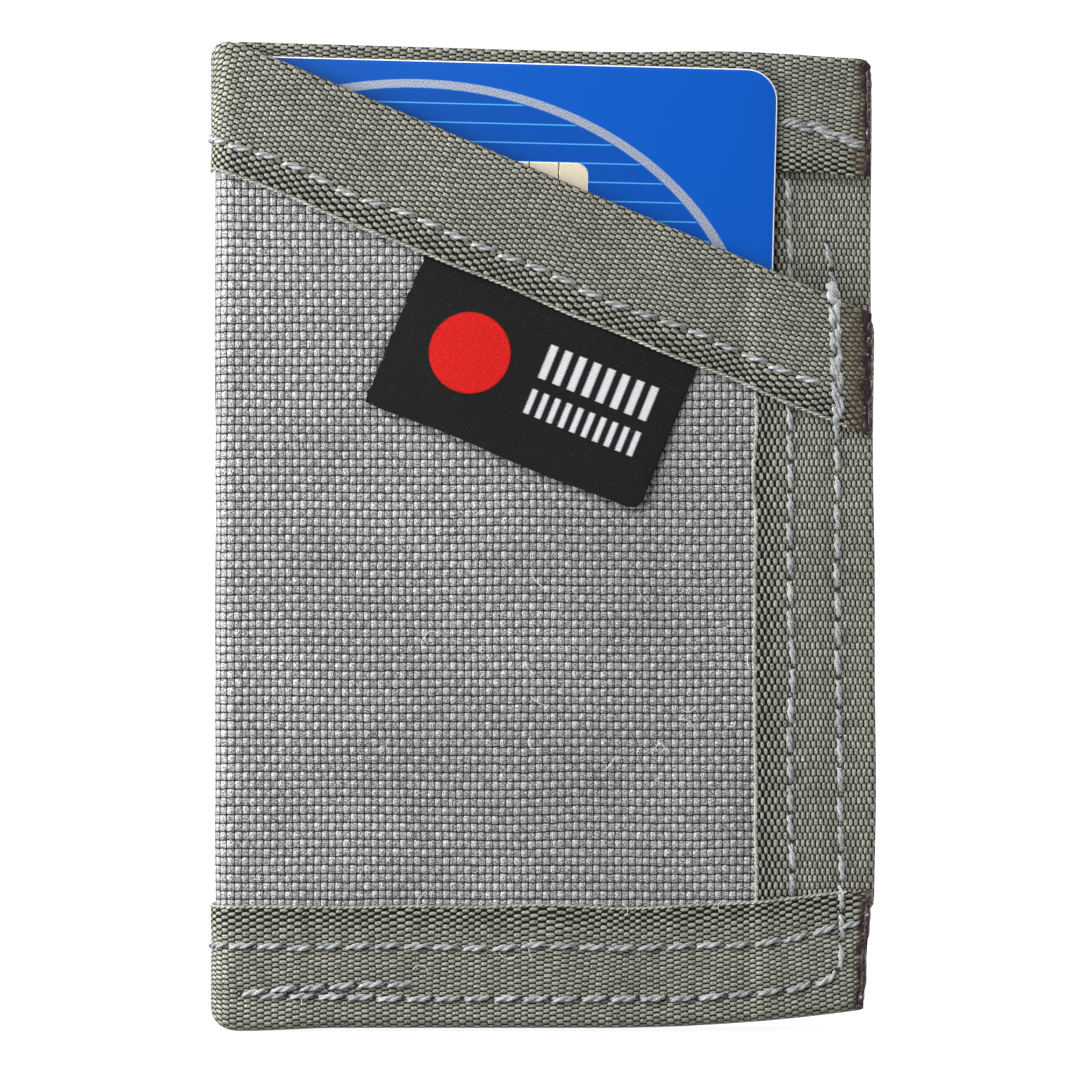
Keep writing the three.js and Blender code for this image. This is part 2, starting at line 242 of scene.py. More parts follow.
def mouth_selvage(side, x):
    if side == BACK:
        return shell_top(x) + fold_drop(x) - RIBBON_WIDTH
    edge = slanted(x, FOLD_TOP - 12.1, SLANT_SELVAGE_START_Z + 0.2, SLANT_END_SELVAGE)
    return edge + 0.1 * ripple(x, 0 * x, 14, 5)


def bottom_selvage(x):
    return bottom_curl(x) + BOTTOM_HEIGHT + 0.12 * ripple(x, 0 * x, 18, 8) - 0.25 * smooth(0, 20, x)


def side_selvage(side, z):
    """x of the wavy selvage of the ribbons over the free edge."""
    return RIBBON_LEFT + 0.13 * ripple(z, 0 * z, 9, 71 + side)


# ---- Stitch rows: points (x, z) on one half; x below FOLD_X lies round the fold ----

SIDE_ROW_X = 25.0
JOIN_X = 29.6
BOTTOM_ROW_Z = 8.0
FOLD_X = -HALF_WIDTH + FOLD_RADIUS
SPINE_MIDDLE_X = FOLD_X - FOLD_RADIUS * math.pi / 2 - (HALF_THICK - FOLD_RADIUS)


def mouth_row(side):
    x = np.linspace(SPINE_MIDDLE_X, JOIN_X - 1.6, 60)
    reach = on_face(x)
    return np.stack([x, mouth_selvage(side, reach) + SEAM_OFFSET + 0.12 * ripple(x, 0 * x, 9, 11)], 1)


def bottom_row(side):
    x = np.linspace(SPINE_MIDDLE_X, HALF_WIDTH - 1.4, 60)
    rise = 2.2 * smooth(18, HALF_WIDTH, x) + 0.1 * ripple(x, 0 * x, 11, 12 + side)
    return np.stack([x, BOTTOM_ROW_Z + rise], 1)


def side_row(side):
    z = np.linspace(BOTTOM_HEIGHT + 0.8, mouth_selvage(side, SIDE_ROW_X) + 0.6, 40)
    return np.stack([SIDE_ROW_X + 0.16 * ripple(z, 0 * z, 13, 14 + side), z], 1)


def join_row(side):
    """Down beside the free edge, round the bottom corner and back along the bottom to the fold."""
    top = 78.6 if side == FRONT else 84.0
    z = np.linspace(top, 7.5, 50)
    down = np.stack([JOIN_X + 0.5 * smooth(50, 10, z) - 0.9 * smooth(73, 79, z), z], 1)
    turn = np.linspace(0.15, math.pi / 2, 6)
    corner = np.stack([JOIN_X - 2.3 + 2.8 * np.cos(turn), 7.2 - 2.8 * np.sin(turn)], 1)
    x = np.linspace(JOIN_X - 4.5, FOLD_X + 1.2, 40)
    along = np.stack([x, 2.8 + 1.4 * smooth(12, HALF_WIDTH, x) + 0.3 * smooth(-12, -30, x)], 1)
    return np.concatenate([down, corner, along])


def back_tack(start, end, sag):
    """A short second pass of the needle between two points."""
    share = np.linspace(0, 1, 12)[:, None]
    line = np.array(start) * (1 - share) + np.array(end) * share
    line[:, 1] += sag * np.sin(math.pi * share[:, 0])
    return line


ROWS = {
    half: {
        "mouth": mouth_row(half),
        "bottom": bottom_row(half),
        "side": side_row(half),
        "join": join_row(half),
        "corner_tack": back_tack((-30.0, 3.3), (-12.6, 4.2), 0.25),
    }
    for half in (FRONT, BACK)
}


def stitches_of(row, pitch=STITCH_PITCH, offset=0.0):
    """The length along a row at its points, and the (start, end) lengths of its stitches."""
    length = path_lengths(row)
    starts = np.arange(offset, length[-1] - 0.6 * pitch, pitch)
    return length, [(start, min(start + pitch - STITCH_GAP, length[-1])) for start in starts]


def at_length(row, length, where):
    return np.stack([np.interp(where, length, row[:, 0]), np.interp(where, length, row[:, 1])], -1)


def seam_dip(side, x, z, names):
    """How far the cloth is drawn in along its stitch rows and at their needle holes (mm)."""
    dip = 0
    for name in names:
        row = ROWS[side][name]
        length, stitches = stitches_of(row)
        spots = at_length(row, length, np.arange(0, length[-1], 0.75))
        holes = at_length(row, length, np.array([start - STITCH_GAP / 2 for start, _ in stitches]))
        groove = 0.11 * np.exp(-squared_gap(x, z, spots) / 1.1)
        dip = dip + groove + 0.2 * np.exp(-squared_gap(x, z, holes) / 0.16)
    return dip


# ---- Depth of the middle of each outer layer (mm) ----


def bulge(side, x, z):
    """How far a half's cloth stands proud of its flat layers."""
    fade = smooth(-HALF_WIDTH + 1, -HALF_WIDTH + 9, x)
    middle = 0.3 * np.exp(-(((x + 2) / 25) ** 2) - ((z - 44) / 36) ** 2)
    return fade * (middle + 0.07 * ripple(x, z, 24, 21 + side))


def mouth_depth(side, x, z):
    step = OVERLAP_LIFT * smooth(RIBBON_LEFT - 1.2, RIBBON_LEFT + 0.6, x)
    return SLANT_DEPTH - step - bulge(side, x, z) + seam_dip(side, x, z, ("mouth", "join"))


def bottom_depth(side, x, z):
    step = OVERLAP_LIFT * smooth(RIBBON_LEFT - 1.0, RIBBON_LEFT + 0.8, x)
    fade = smooth(0, BOTTOM_HEIGHT, z)
    crease = 0.07 * np.exp(-(((x + 16 + 0.1 * z) / 0.7) ** 2)) + 0.05 * np.exp(-(((x - 10) / 0.8) ** 2))
    pucker = 0.05 * ripple(x, 0 * x, 5, 33 + side)
    dips = seam_dip(side, x, z, ("bottom", "join", "corner_tack"))
    return SLANT_DEPTH - step - fade * bulge(side, x, z) + dips + crease + pucker


def side_depth(side, x, z):
    puff = 0.06 * np.sin(np.clip((x - SIDE_ROW_X) / (JOIN_X - SIDE_ROW_X), 0, 1) * math.pi)
    dips = seam_dip(side, x, z, ("side", "join"))
    return SIDE_DEPTH - puff - bulge(side, x, z) + dips + 0.04 * ripple(0 * z, z, 7, 41 + side)


def pocket_depth(side, x, z):
    return POCKET_DEPTH - bulge(side, x, z) - 0.05 * ripple(x, z, 15, 51 + side)


def surface_depth(side, x, z):
    """Depth of the outermost surface of a half at a point, for thread to lie on."""
    mouth = mouth_depth(side, x, z)
    below_mouth = smooth(-0.3, 0.3, mouth_selvage(side, on_face(x)) - z)
    above_bottom = smooth(-0.3, 0.3, z - bottom_selvage(x))
    over_mouth = smooth(-0.1, 0.5, z - mouth_edge(side, on_face(x)))
    depth = mouth + below_mouth * (side_depth(side, x, z) - mouth)
    depth = depth + (1 - above_bottom) * (bottom_depth(side, x, z) - depth)
    depth = depth + over_mouth * (SHELL_SIDE_DEPTH - depth)
    return depth - RIBBON_THICK / 2


def shell_top_depth(x, z):
    """Depth of the ribbon over the shell's top, which steps up over the ribbon at the free edge."""
    on_side = smooth(23.4, 25.2, x)
    lifted_selvage = 0.38 * smooth(2.4, 0.0, z - shell_top_selvage(x))
    return SHELL_OUTER_LEG - on_side * (0.34 + lifted_selvage)


def inside_depth(x, z):
    """Depth of the innermost surface of a half, for thread to lie on."""
    on_bottom = smooth(0.2, -0.2, z - BOTTOM_HEIGHT)
    on_side = smooth(RIBBON_LEFT - 0.2, RIBBON_LEFT + 0.2, x)
    cloth_depth = INNER_POCKET_DEPTH + 0.2 + on_side * (INNER_BACK_LEG - 0.04 - INNER_POCKET_DEPTH - 0.2)
    return cloth_depth + on_bottom * (INNER_BACK_LEG + RIBBON_THICK / 2 - cloth_depth)


# ---- Mesh building ----


def add_object(name, data):
    thing = bpy.data.objects.new(name, data)
    bpy.context.scene.collection.objects.link(thing)
    return thing


def make_object(name, vertices, faces, materials, uv=None, sharp_degrees=50):
    """A mesh object from points in mm, with one uv pair (mm) for each point."""
    mesh = bpy.data.meshes.new(name)
    mesh.from_pydata((np.asarray(vertices, float) * MM).tolist(), [], [list(face) for face in faces])
    for material in materials:
        mesh.materials.append(material)
    if uv is not None:
        corners = np.empty(len(mesh.loops), dtype=np.int32)
        mesh.loops.foreach_get("vertex_index", corners)
        layer = mesh.uv_layers.new(name="UVMap")
        layer.data.foreach_set("uv", np.asarray(uv, np.float32)[corners].ravel())
    mesh.shade_smooth()
    mesh.set_sharp_from_angle(angle=math.radians(sharp_degrees))
    return add_object(name, mesh)


def grid_faces(rows, columns):
    index = np.arange(rows * columns).reshape(rows, columns)
    return np.stack([index[:-1, :-1], index[1:, :-1], index[1:, 1:], index[:-1, 1:]], -1).reshape(-1, 4)


def cloth(name, middle, uv, thickness, material):
    """A closed sheet of cloth round a grid of middle points, thinned at its rim."""
    rows, columns = middle.shape[:2]
    normal = unit(np.cross(np.gradient(middle, axis=0), np.gradient(middle, axis=1)))
    half = np.full((rows, columns, 1), thickness / 2)
    half[:, [0, -1]] *= 0.6
    half[-1] *= 0.6
    vertices = np.concatenate([middle + normal * half, middle - normal * half]).reshape(-1, 3)
    count = rows * columns
    index = np.arange(count).reshape(rows, columns)
    outer = grid_faces(rows, columns)
    loop = np.concatenate([index[:-1, 0], index[-1, :-1], index[:0:-1, -1], index[0, :0:-1]])
    after = np.roll(loop, -1)
    rim = np.stack([after, loop, loop + count, after + count], -1)
    faces = np.concatenate([outer, outer[:, ::-1] + count, rim])
    return make_object(name, vertices, faces, [material], np.concatenate([uv, uv]).reshape(-1, 2))


def crosswise(path, normal):
    """At each point of a path, two directions square to it; normal is near the second."""
    tangents = unit(np.gradient(path, axis=0))
    across = unit(np.cross(tangents, normal))
    return across, np.cross(across, tangents)


def tube_points(centres, across, up, radius, sides):
    """Rings of points round a path, and the faces that join and cap them."""
    turn = np.linspace(0, 2 * math.pi, sides, endpoint=False)
    ring = across[:, None] * np.cos(turn)[:, None] + up[:, None] * np.sin(turn)[:, None]
    points = centres[:, None] + ring * np.asarray(radius).reshape(-1, 1, 1)
    count = len(centres)
    index = np.arange(count * sides).reshape(count, sides)
    after = np.roll(index, -1, axis=1)
    walls = np.stack([index[:-1], after[:-1], after[1:], index[1:]], -1).reshape(-1, 4)
    faces = [*walls.tolist(), index[0, ::-1].tolist(), index[-1].tolist()]
    return points.reshape(-1, 3), faces


class Bundle:
    """Gathers many small closed shapes into one mesh."""

    def __init__(self):
        self.points = []
        self.faces = []
        self.count = 0

    def add(self, points, faces):
        self.points.append(points)
        self.faces.extend([[corner + self.count for corner in face] for face in faces])
        self.count += len(points)

    def add_tube(self, path, normal, radius, sides):
        self.add(*tube_points(path, *crosswise(path, normal), radius, sides))

    def build(self, name, material):
        return make_object(name, np.concatenate(self.points), self.faces, [material])


# ---- Paths round the fold ----

BELLY = 0.42


def belly(length):
    """How far the spine bows outwards, at a length from its middle."""
    reach = HALF_THICK - FOLD_RADIUS + FOLD_RADIUS * math.pi / 2
    return BELLY * np.cos(np.clip(length / reach, 0, 1) * math.pi / 2) ** 2


def fold_marks(face_step):
    """Shares of the spine, the bend and the face done, for each station from the spine's middle."""
    spine_steps, bend_steps = 5, 12
    face_steps = int(2 * HALF_WIDTH / face_step)
    station = np.arange(spine_steps + bend_steps + face_steps + 1)[:, None]
    spine = np.clip(station / spine_steps, 0, 1)
    bend = np.clip((station - spine_steps) / bend_steps, 0, 1)
    return spine, bend, np.clip((station - spine_steps - bend_steps) / face_steps, 0, 1)


def wrap(side, marks, depth, right, shift_of):
    """Points of a sheet wrapped round the fold, and the length along it from the spine's middle.

    depth is the nominal depth of each column, and shift_of gives how much deeper each point lies.
    """
    spine, bend, face = marks
    radius = np.maximum(FOLD_RADIUS - depth, 0.35)
    turn_x = -HALF_WIDTH + depth + radius
    angle = bend * math.pi / 2
    x = turn_x - radius * np.cos(angle) + face * (right - turn_x)
    y = spine * (HALF_THICK - depth - radius) + radius * np.sin(angle)
    x = x - belly(spine * (HALF_THICK - FOLD_RADIUS) + angle * FOLD_RADIUS) * (face == 0)
    shift, z = shift_of(x)
    points = np.stack([x + np.cos(angle) * shift, side * (y - np.sin(angle) * shift), z], -1)
    steps = np.hypot(np.diff(x[:, :1], axis=0), np.diff(y[:, :1], axis=0))
    length = np.concatenate([[[0.0]], np.cumsum(steps, axis=0)])
    return points, length, x


def outer_skin(side, x, z, lift):
    """A point over the outermost cloth at x, z (x below FOLD_X runs on round the fold), and its normal."""
    over = np.clip((FOLD_X - x) / FOLD_RADIUS, 0, math.pi / 2)
    beyond = np.maximum(FOLD_X - x - FOLD_RADIUS * math.pi / 2, 0)
    reach = np.maximum(x, FOLD_X)
    depth = surface_depth(side, reach, z) - lift
    radius = FOLD_RADIUS - depth
    bow = belly(HALF_THICK - FOLD_RADIUS + (math.pi / 2 - over) * FOLD_RADIUS - beyond) * (over > 0)
    px = reach - radius * np.sin(over) - bow
    py = HALF_THICK - FOLD_RADIUS + radius * np.cos(over) - beyond
    normal = np.stack([-np.sin(over), side * np.cos(over), 0 * over], -1)
    return np.stack([px, side * py, z], -1), normal


def flat_skin(depth_of, facing=1):
    """Places thread over a flat layer; facing is -1 on the face towards the other half."""

    def skin(side, x, z, lift):
        y = side * (HALF_THICK - depth_of(x, z) + facing * lift)
        return np.stack([x, y, z], -1), np.stack([0 * x, 0 * x + side * facing, 0 * x], -1)

    return skin


# ---- Thread and cord ----


def twisted(bundle, path, normal, radius, twist, sides=6, taper=1.0):
    """Two strands twisted round a path of points."""
    across, up = crosswise(path, normal)
    length = path_lengths(path)
    size = taper + 0 * length
    for strand in range(2):
        angle = 2 * math.pi * (length / twist + strand / 2)
        offset = across * np.cos(angle)[:, None] + up * np.sin(angle)[:, None]
        centres = path + offset * (0.85 * radius * size)[:, None]
        bundle.add(*tube_points(centres, across, up, radius * size, sides))


def sew(
    bundle, side, row, seed, skin=outer_skin, pitch=STITCH_PITCH, offset=0.0, shift=0.0,
    radius=THREAD_RADIUS, slant=0.12,
):
    """A row of stitches, each an arch of two-ply thread that dives into the cloth at both ends."""
    source = np.random.default_rng(seed)
    length, stitches = stitches_of(row, pitch, offset)
    share = np.linspace(0, 1, 13)
    for start, end in stitches:
        line = at_length(row, length, start + share * (end - start))
        along = line[-1] - line[0]
        across = np.array([-along[1], along[0]]) / np.linalg.norm(along)
        lean = slant * (share - 0.5) * 2 + source.normal(0, 0.04) + shift
        line = line + across * lean[:, None]
        lift = radius * (1.5 * np.sin(math.pi * share) ** 0.5 - 0.9) + source.uniform(-0.02, 0.03)
        path, normal = skin(side, line[:, 0], line[:, 1], lift)
        taper = 0.72 + 0.28 * np.sin(math.pi * share) ** 0.5
        twisted(bundle, path, normal, radius, 2.6, taper=taper)


def paint_hole_shade(bundle, side, row):
    """Painted shade at the needle holes between a row's stitches, as small sunk dark discs."""
    length, stitches = stitches_of(row)
    turn = np.linspace(0, 2 * math.pi, 7, endpoint=False)
    for start, _ in stitches:
        x, z = at_length(row, length, start - STITCH_GAP / 2)
        round_x = np.append(x, x + 1.25 * HOLE_RADIUS * np.cos(turn))
        round_z = np.append(z, z + HOLE_RADIUS * np.sin(turn))
        rim, normal = outer_skin(side, round_x, round_z, 0.03)
        rim[0] += 0.03 * normal[0]
        base = rim[1:] - 0.1 * normal[1:]
        count = len(turn)
        pairs = [(1 + step, 1 + (step + 1) % count) for step in range(count)]
        faces = [[0, here, after] for here, after in pairs]
        faces += [[here, count + here, count + after, after] for here, after in pairs]
        faces.append([count + here for here, _ in reversed(pairs)])
        bundle.add(np.concatenate([rim, base]), faces)


def selvage_cord(bundle, side, x, z, inward, radius=0.1):
    """The light twisted cord that finishes a ribbon's edge; inward is a step onto the ribbon (x, z)."""
    path, normal = outer_skin(side, x + inward[0], z + inward[1], 0.0)
    path = path - np.array([inward[0], 0, inward[1]]) - normal * 0.6 * radius
    twisted(bundle, path, normal, radius, 1.3, sides=5)


# ---- Materials ----


class Value:
    """A node's output; arithmetic on it adds a Math node."""

    def __init__(self, wiring, socket):
        self.wiring = wiring
        self.socket = socket

    def __add__(self, other):
        return self.wiring.calc("ADD", self, other)

    def __sub__(self, other):
        return self.wiring.calc("SUBTRACT", self, other)

    def __rsub__(self, other):
        return self.wiring.calc("SUBTRACT", other, self)

    def __mul__(self, other):
        return self.wiring.calc("MULTIPLY", self, other)

    def __truediv__(self, other):
        return self.wiring.calc("DIVIDE", self, other)

    def __pow__(self, other):
        return self.wiring.calc("POWER", self, other)

    def __abs__(self):
        return self.wiring.calc("ABSOLUTE", self)

    __radd__ = __add__
    __rmul__ = __mul__


class Wiring:
    """A material's node tree, with short calls for the nodes used here."""

    def __init__(self, name, roughness, metallic=0.0, specular=0.3):
        self.material = bpy.data.materials.new(name)
        self.material.use_nodes = True
        self.tree = self.material.node_tree
        self.shader = self.tree.nodes["Principled BSDF"]
        self.shader.inputs["Roughness"].default_value = roughness
        self.shader.inputs["Metallic"].default_value = metallic
        self.shader.inputs["Specular IOR Level"].default_value = specular

    def link(self, value, socket):
        if isinstance(value, Value):
            self.tree.links.new(value.socket, socket)
        else:
            socket.default_value = value

    def node(self, kind, inputs, **settings):
        """A new node, with inputs by name or number and its other settings; its outputs."""
        node = self.tree.nodes.new(f"ShaderNode{kind}")
        for key, value in settings.items():
            setattr(node, key, value)
        for key, value in inputs.items():
            self.link(value, node.inputs[key])
        return [Value(self, socket) for socket in node.outputs]

    def calc(self, operation, first, second=None, clamp=False):
        inputs = {0: first} if second is None else {0: first, 1: second}
        return self.node("Math", inputs, operation=operation, use_clamp=clamp)[0]

    def least(self, first, second):
        return self.calc("MINIMUM", first, second)

    def most(self, first, second):
        return self.calc("MAXIMUM", first, second)

    def root(self, value):
        return self.calc("SQRT", value)

    def centred(self, value):
        """Place within a cell one unit long, -0.5 to 0.5."""
        return self.calc("FRACT", value) - 0.5

    def ramp(self, value, start, end, low=0.0, high=1.0):
        """An S-curve from low to high as value goes from start to end."""
        inputs = dict(enumerate((value, start, end, low, high)))
        return self.node("MapRange", inputs, interpolation_type="SMOOTHSTEP")[0]

    def split(self, vector):
        return self.node("SeparateXYZ", {0: vector})

    def uv(self):
        return self.split(self.node("UVMap", {}, uv_map="UVMap")[0])[:2]

    def vector(self, x, y, z=0.0):
        return self.node("CombineXYZ", {0: x, 1: y, 2: z})[0]

    def noise(self, vector, scale, detail):
        return self.node("TexNoise", {"Vector": vector, "Scale": scale, "Detail": detail})[0]

    def grain(self, x, y, layer=0.0, detail=2.0):
        """Noise over the uv plane; layer picks another pattern."""
        return self.noise(self.vector(x, y, layer), 1.0, detail)

    def place(self):
        """The point's place on the object at rest, in metres."""
        return next(value for value in self.node("TexCoord", {}) if value.socket.name == "Object")

    def lumps(self, scale, detail=2.0):
        """Noise through the object."""
        return self.noise(self.place(), scale, detail)

    def random(self, x, y, z):
        """One random value for each whole step of x, y and z."""
        return self.node("TexWhiteNoise", {"Vector": self.vector(x, y, z)}, noise_dimensions="3D")[0]

    def mix(self, share, first, second):
        colours = [(*item, 1.0) if isinstance(item, tuple) else item for item in (first, second)]
        return self.node("Mix", {0: share, 6: colours[0], 7: colours[1]}, data_type="RGBA")[2]

    def brighten(self, colour, amount):
        return self.node("VectorMath", {0: colour, "Scale": amount}, operation="SCALE")[0]

    def finish(self, colour, height, bump_mm, roughness=None):
        self.link(colour, self.shader.inputs["Base Color"])
        if roughness is not None:
            self.link(roughness, self.shader.inputs["Roughness"])
        bump = self.node("Bump", {"Strength": 1.0, "Distance": bump_mm * MM, "Height": height})[0]
        self.link(bump, self.shader.inputs["Normal"])
        return self.material


def linear(red, green, blue):
    """A display colour (0 to 255) as linear light."""
    shares = (red / 255, green / 255, blue / 255)
    return tuple(c / 12.92 if c <= 0.04045 else ((c + 0.055) / 1.055) ** 2.4 for c in shares)


def plain_weave(name, body, gap_shade, pitch_u=0.717, pitch_v=0.848):
    """Coarse plain weave: warp and weft floats take turns, with painted shade as dark colour in the gaps
    between the yarns.
    """
    w = Wiring(name, 0.5, specular=0.2)
    u, v = w.uv()
    sway = (w.grain(u * 0.07, v * 0.07) - 0.5) * 0.55
    shake = (w.grain(u * 0.9, v * 0.9, 7.0, 1.0) - 0.5) * 0.16
    column = (u + sway + shake) / pitch_u
    row = (v + sway - shake) / pitch_v
    column_number, row_number = w.calc("FLOOR", column), w.calc("FLOOR", row)
    warp = w.calc("FLOORED_MODULO", column_number + row_number, 2.0)
    weft = 1.0 - warp
    chance = w.random(column_number, row_number, 3.0)

    across = abs(w.centred(column)) * 2.0
    along = abs(w.centred(row)) * 2.0
    corner = (across * (1.04 - warp * 0.06)) ** 5.0 + (along * (1.07 - warp * 0.08)) ** 5.0
    inside = w.ramp(corner, 1.0, 0.4)
    round_u, round_v = across ** 2.0, along ** 2.0
    warp_crown = 1.0 - (round_u * 0.5 + round_v * 0.45)
    weft_crown = 0.62 - (round_u * 0.1 + round_v * 0.4)
    crown = warp_crown * warp + weft_crown * weft

    fibre = w.grain(u * 9.0, v * 4.0) * warp + w.grain(u * 4.0, v * 9.0, 5.0) * weft
    # glint is a painted highlight: a fine speckle of bright points in the yarn colour.
    glint = w.grain(u * 9.0, v * 7.5, 9.0, 1.0)
    patch = w.grain(u * 0.06, v * 0.06, 2.0, 3.0)
    height = crown * (0.25 + inside * 0.75) + fibre * 0.45
    tone = 0.78 + warp * 0.24 + (chance - 0.5) * 0.24 + (fibre - 0.5) * 4.6 + (glint - 0.5) * 3.2
    tone = w.most(tone * w.ramp(patch, 0.3, 0.7, 0.92, 1.08), 0.15)
    # The gaps between the yarns take the dark gap colour, a painted shade.
    colour = w.mix(inside, gap_shade, w.brighten(body, tone))
    return w.finish(colour, height, 0.42, w.ramp(inside, 0.2, 0.9, 0.85, 0.46))


def ribbon_weave(name, body, gap_shade, melted=0.0, browned=0.0, lean=0.0):
    """Ribbon of staggered oval floats, larger and more open between its stitching and its selvage, with
    painted shade as dark colour in the gaps between the floats.

    melted and browned are how far from the free edge heat has glazed and darkened a cut end, and lean
    is how far in the cut end is at the wallet's bottom (mm).
    """
    w = Wiring(name, 0.42, specular=0.1)
    u, v = w.uv()
    open_edge = w.ramp(v, SEAM_OFFSET + 0.2, 0.6)
    sway = (w.grain(u * 0.4, v * 0.4) - 0.5) * 0.34
    edge_rows = w.least(v, SEAM_OFFSET) / FLOAT_PITCH_EDGE
    body_rows = w.most(v - SEAM_OFFSET, 0.0) / FLOAT_PITCH
    across = edge_rows + body_rows + sway
    along = (u + sway) / (2 * FLOAT_ROW)
    half_tall = 0.405 - open_edge * 0.11
    distances, chances = [], []
    for shift in (0.0, 0.5):
        float_u = w.centred(along + shift)
        float_v = w.centred(across + shift) + float_u * 0.1
        distances.append((abs(float_u) / 0.275) ** 3.2 + (abs(float_v) / half_tall) ** 2.6)
        chances.append(w.random(w.calc("FLOOR", along + shift), w.calc("FLOOR", across + shift), shift))
    nearer = w.calc("LESS_THAN", *distances)
    chance = chances[0] * nearer + chances[1] * (1.0 - nearer)
    left = 1.0 - w.least(*distances)
    inside = w.ramp(left, -0.08, 0.34)
    fibre = w.grain(u * 5.0, v * 11.0)
    patch = w.grain(u * 0.12, v * 0.12, 4.0, 3.0)
    height = w.root(w.most(left + 0.3, 0.0)) + fibre * 0.3
    tone = w.most(1.0 + (chance - 0.5) * 0.36 + (fibre - 0.5) * 3.6, 0.2)
    tone = tone * w.ramp(patch, 0.3, 0.7, 0.94, 1.06)
    # The gaps between the floats take the dark gap colour, a painted shade.
    colour = w.mix(inside, gap_shade, w.brighten(body, tone))
    roughness = w.ramp(inside, 0.2, 0.9, 0.8, 0.42)
    if browned:
        reach, _, height_up = w.split(w.place())
        blot = w.lumps(900.0, 3.0)
        far = HALF_WIDTH * MM - reach
        if lean:
            above = height_up / ((RIBBON_WIDTH + 2) * MM)
            far = far - w.calc("SUBTRACT", 1.0, above, clamp=True) * (lean * MM)
        far = far + (blot - 0.5) * 0.0022
        brown = w.ramp(far, browned * MM, 0.4 * browned * MM)
        glazed = w.ramp(far, 1.1 * melted * MM, 0.5 * melted * MM)
        dark = w.mix(w.ramp(w.lumps(3200.0), 0.66, 0.74), linear(30, 21, 24), linear(120, 108, 112))
        colour = w.mix(brown * 0.72, colour, linear(52, 43, 27))
        colour = w.mix(glazed, colour, dark)
        height = height * (1.0 - glazed * 0.7) + blot * glazed
        roughness = roughness - glazed * 0.22
    return w.finish(colour, height, 0.3, roughness)


def thread_material(name, body, shade):
    """Thread, cord or loose fibre, mottled between two shades."""
    w = Wiring(name, 0.55)
    fibre = w.lumps(9000.0)
    share = fibre * 0.7 + w.lumps(400.0, 1.0) * 0.3
    return w.finish(w.mix(w.ramp(share, 0.35, 0.65), shade, body), fibre, 0.03)


def sealed_material(name, body, shade):
    """Ribbon end melted into a dark glossy bead."""
    w = Wiring(name, 0.3, specular=0.15)
    lump = w.lumps(1100.0, 3.0)
    streak = w.lumps(3500.0)
    colour = w.mix(w.ramp(streak, 0.35, 0.7), shade, body)
    colour = w.mix(w.ramp(streak, 0.66, 0.72), colour, linear(130, 120, 124))
    return w.finish(colour, lump, 0.25, w.ramp(lump, 0.3, 0.7, 0.22, 0.5))


def label_material():
    """Black satin weave with a plain red disc and two rows of plain white bars woven in."""
    w = Wiring("woven_label", 0.6, specular=0.07)
    s, t = w.uv()
    fine_u = w.calc("SINE", (s + t * 0.5) * (2 * math.pi / 0.24))
    fine_v = w.calc("SINE", t * (2 * math.pi / 0.2))
    grain = w.grain(s * 3.0, t * 9.0)
    jagged_s = s + fine_v * 0.07

    far_s = jagged_s + 6.85
    far_t = t - 7.0
    disc = w.ramp(w.root(far_s * far_s + far_t * far_t), 4.15, 4.02)

    bars = 0.0
    span = w.ramp(abs(s - 6.2), 6.25, 6.15)
    for centre, tall, pitch, width in ((4.9, 3.6, 1.55, 0.82), (9.2, 2.6, 1.24, 0.6)):
        upright = w.ramp(abs(w.centred(jagged_s / pitch)) * pitch, width / 2 + 0.05, width / 2 - 0.05)
        row = w.ramp(abs(t - centre), tall / 2 + 0.05, tall / 2 - 0.05)
        bars = bars + upright * row * span

    line = (fine_v + 1.0) * 0.5
    tone = 0.1 + grain * 1.6
    pale_fluff = w.ramp(w.grain(s * 4.0, t * 4.0, 3.0), 0.68, 0.74)
    black = w.brighten(linear(10, 10, 10), tone * (0.55 + line * 0.9))
    red = w.brighten(linear(150, 13, 10), tone * (0.7 + line * 0.7))
    white = w.brighten(linear(170, 170, 173), 0.6 + line * 0.4)
    colour = w.mix(pale_fluff * 0.16, w.mix(disc, black, red), linear(120, 120, 122))
    raised = ((fine_u + fine_v) * 0.25 + grain) * 0.5 + (disc + bars)
    return w.finish(w.mix(bars, colour, white), raised, 0.12)


def card_print_material():
    """Blue print with fine pale stripes inside a silvery curve, under a satin film."""
    w = Wiring("card_print", 0.3, specular=0.15)
    x, z = w.uv()
    far_x = (x + 9.0) / 33.5
    far_z = (z - 12.5) / 27.5
    far = w.root(far_x * far_x + far_z * far_z)
    inside = w.ramp(far, 1.0, 0.995)
    band = w.ramp(far, 1.0, 1.004) * w.ramp(far, 1.034, 1.03)
    stripes = w.ramp(abs(w.centred(z / 1.88)), 0.045, 0.02) * inside
    grain = w.grain(x * 8.0, z * 8.0, detail=1.0)
    blue = w.mix(w.ramp(x + z * 0.4, -30, 40), linear(2, 47, 100), linear(3, 57, 130))
    blue = w.brighten(blue, 1.06 - inside * 0.17)
    colour = w.mix(stripes * 0.75, blue, linear(60, 128, 176))
    silver = w.mix(w.ramp(grain, 0.3, 0.7), linear(78, 86, 104), linear(124, 130, 142))
    return w.finish(w.mix(band, colour, silver), grain, 0.006)


def card_plain_material(name, body, stripe_colour=None):
    """Plain card plastic with a slight mottle, and a magnetic stripe where it has one."""
    w = Wiring(name, 0.4)
    grain = w.lumps(900.0)
    colour = w.mix(w.ramp(grain, 0.3, 0.7), tuple(0.93 * c for c in body), body)
    if stripe_colour is not None:
        stripe = w.ramp(abs(w.uv()[0] + 16.0), 6.4, 6.3)
        colour = w.mix(stripe, colour, stripe_colour)
    return w.finish(colour, grain, 0.01)


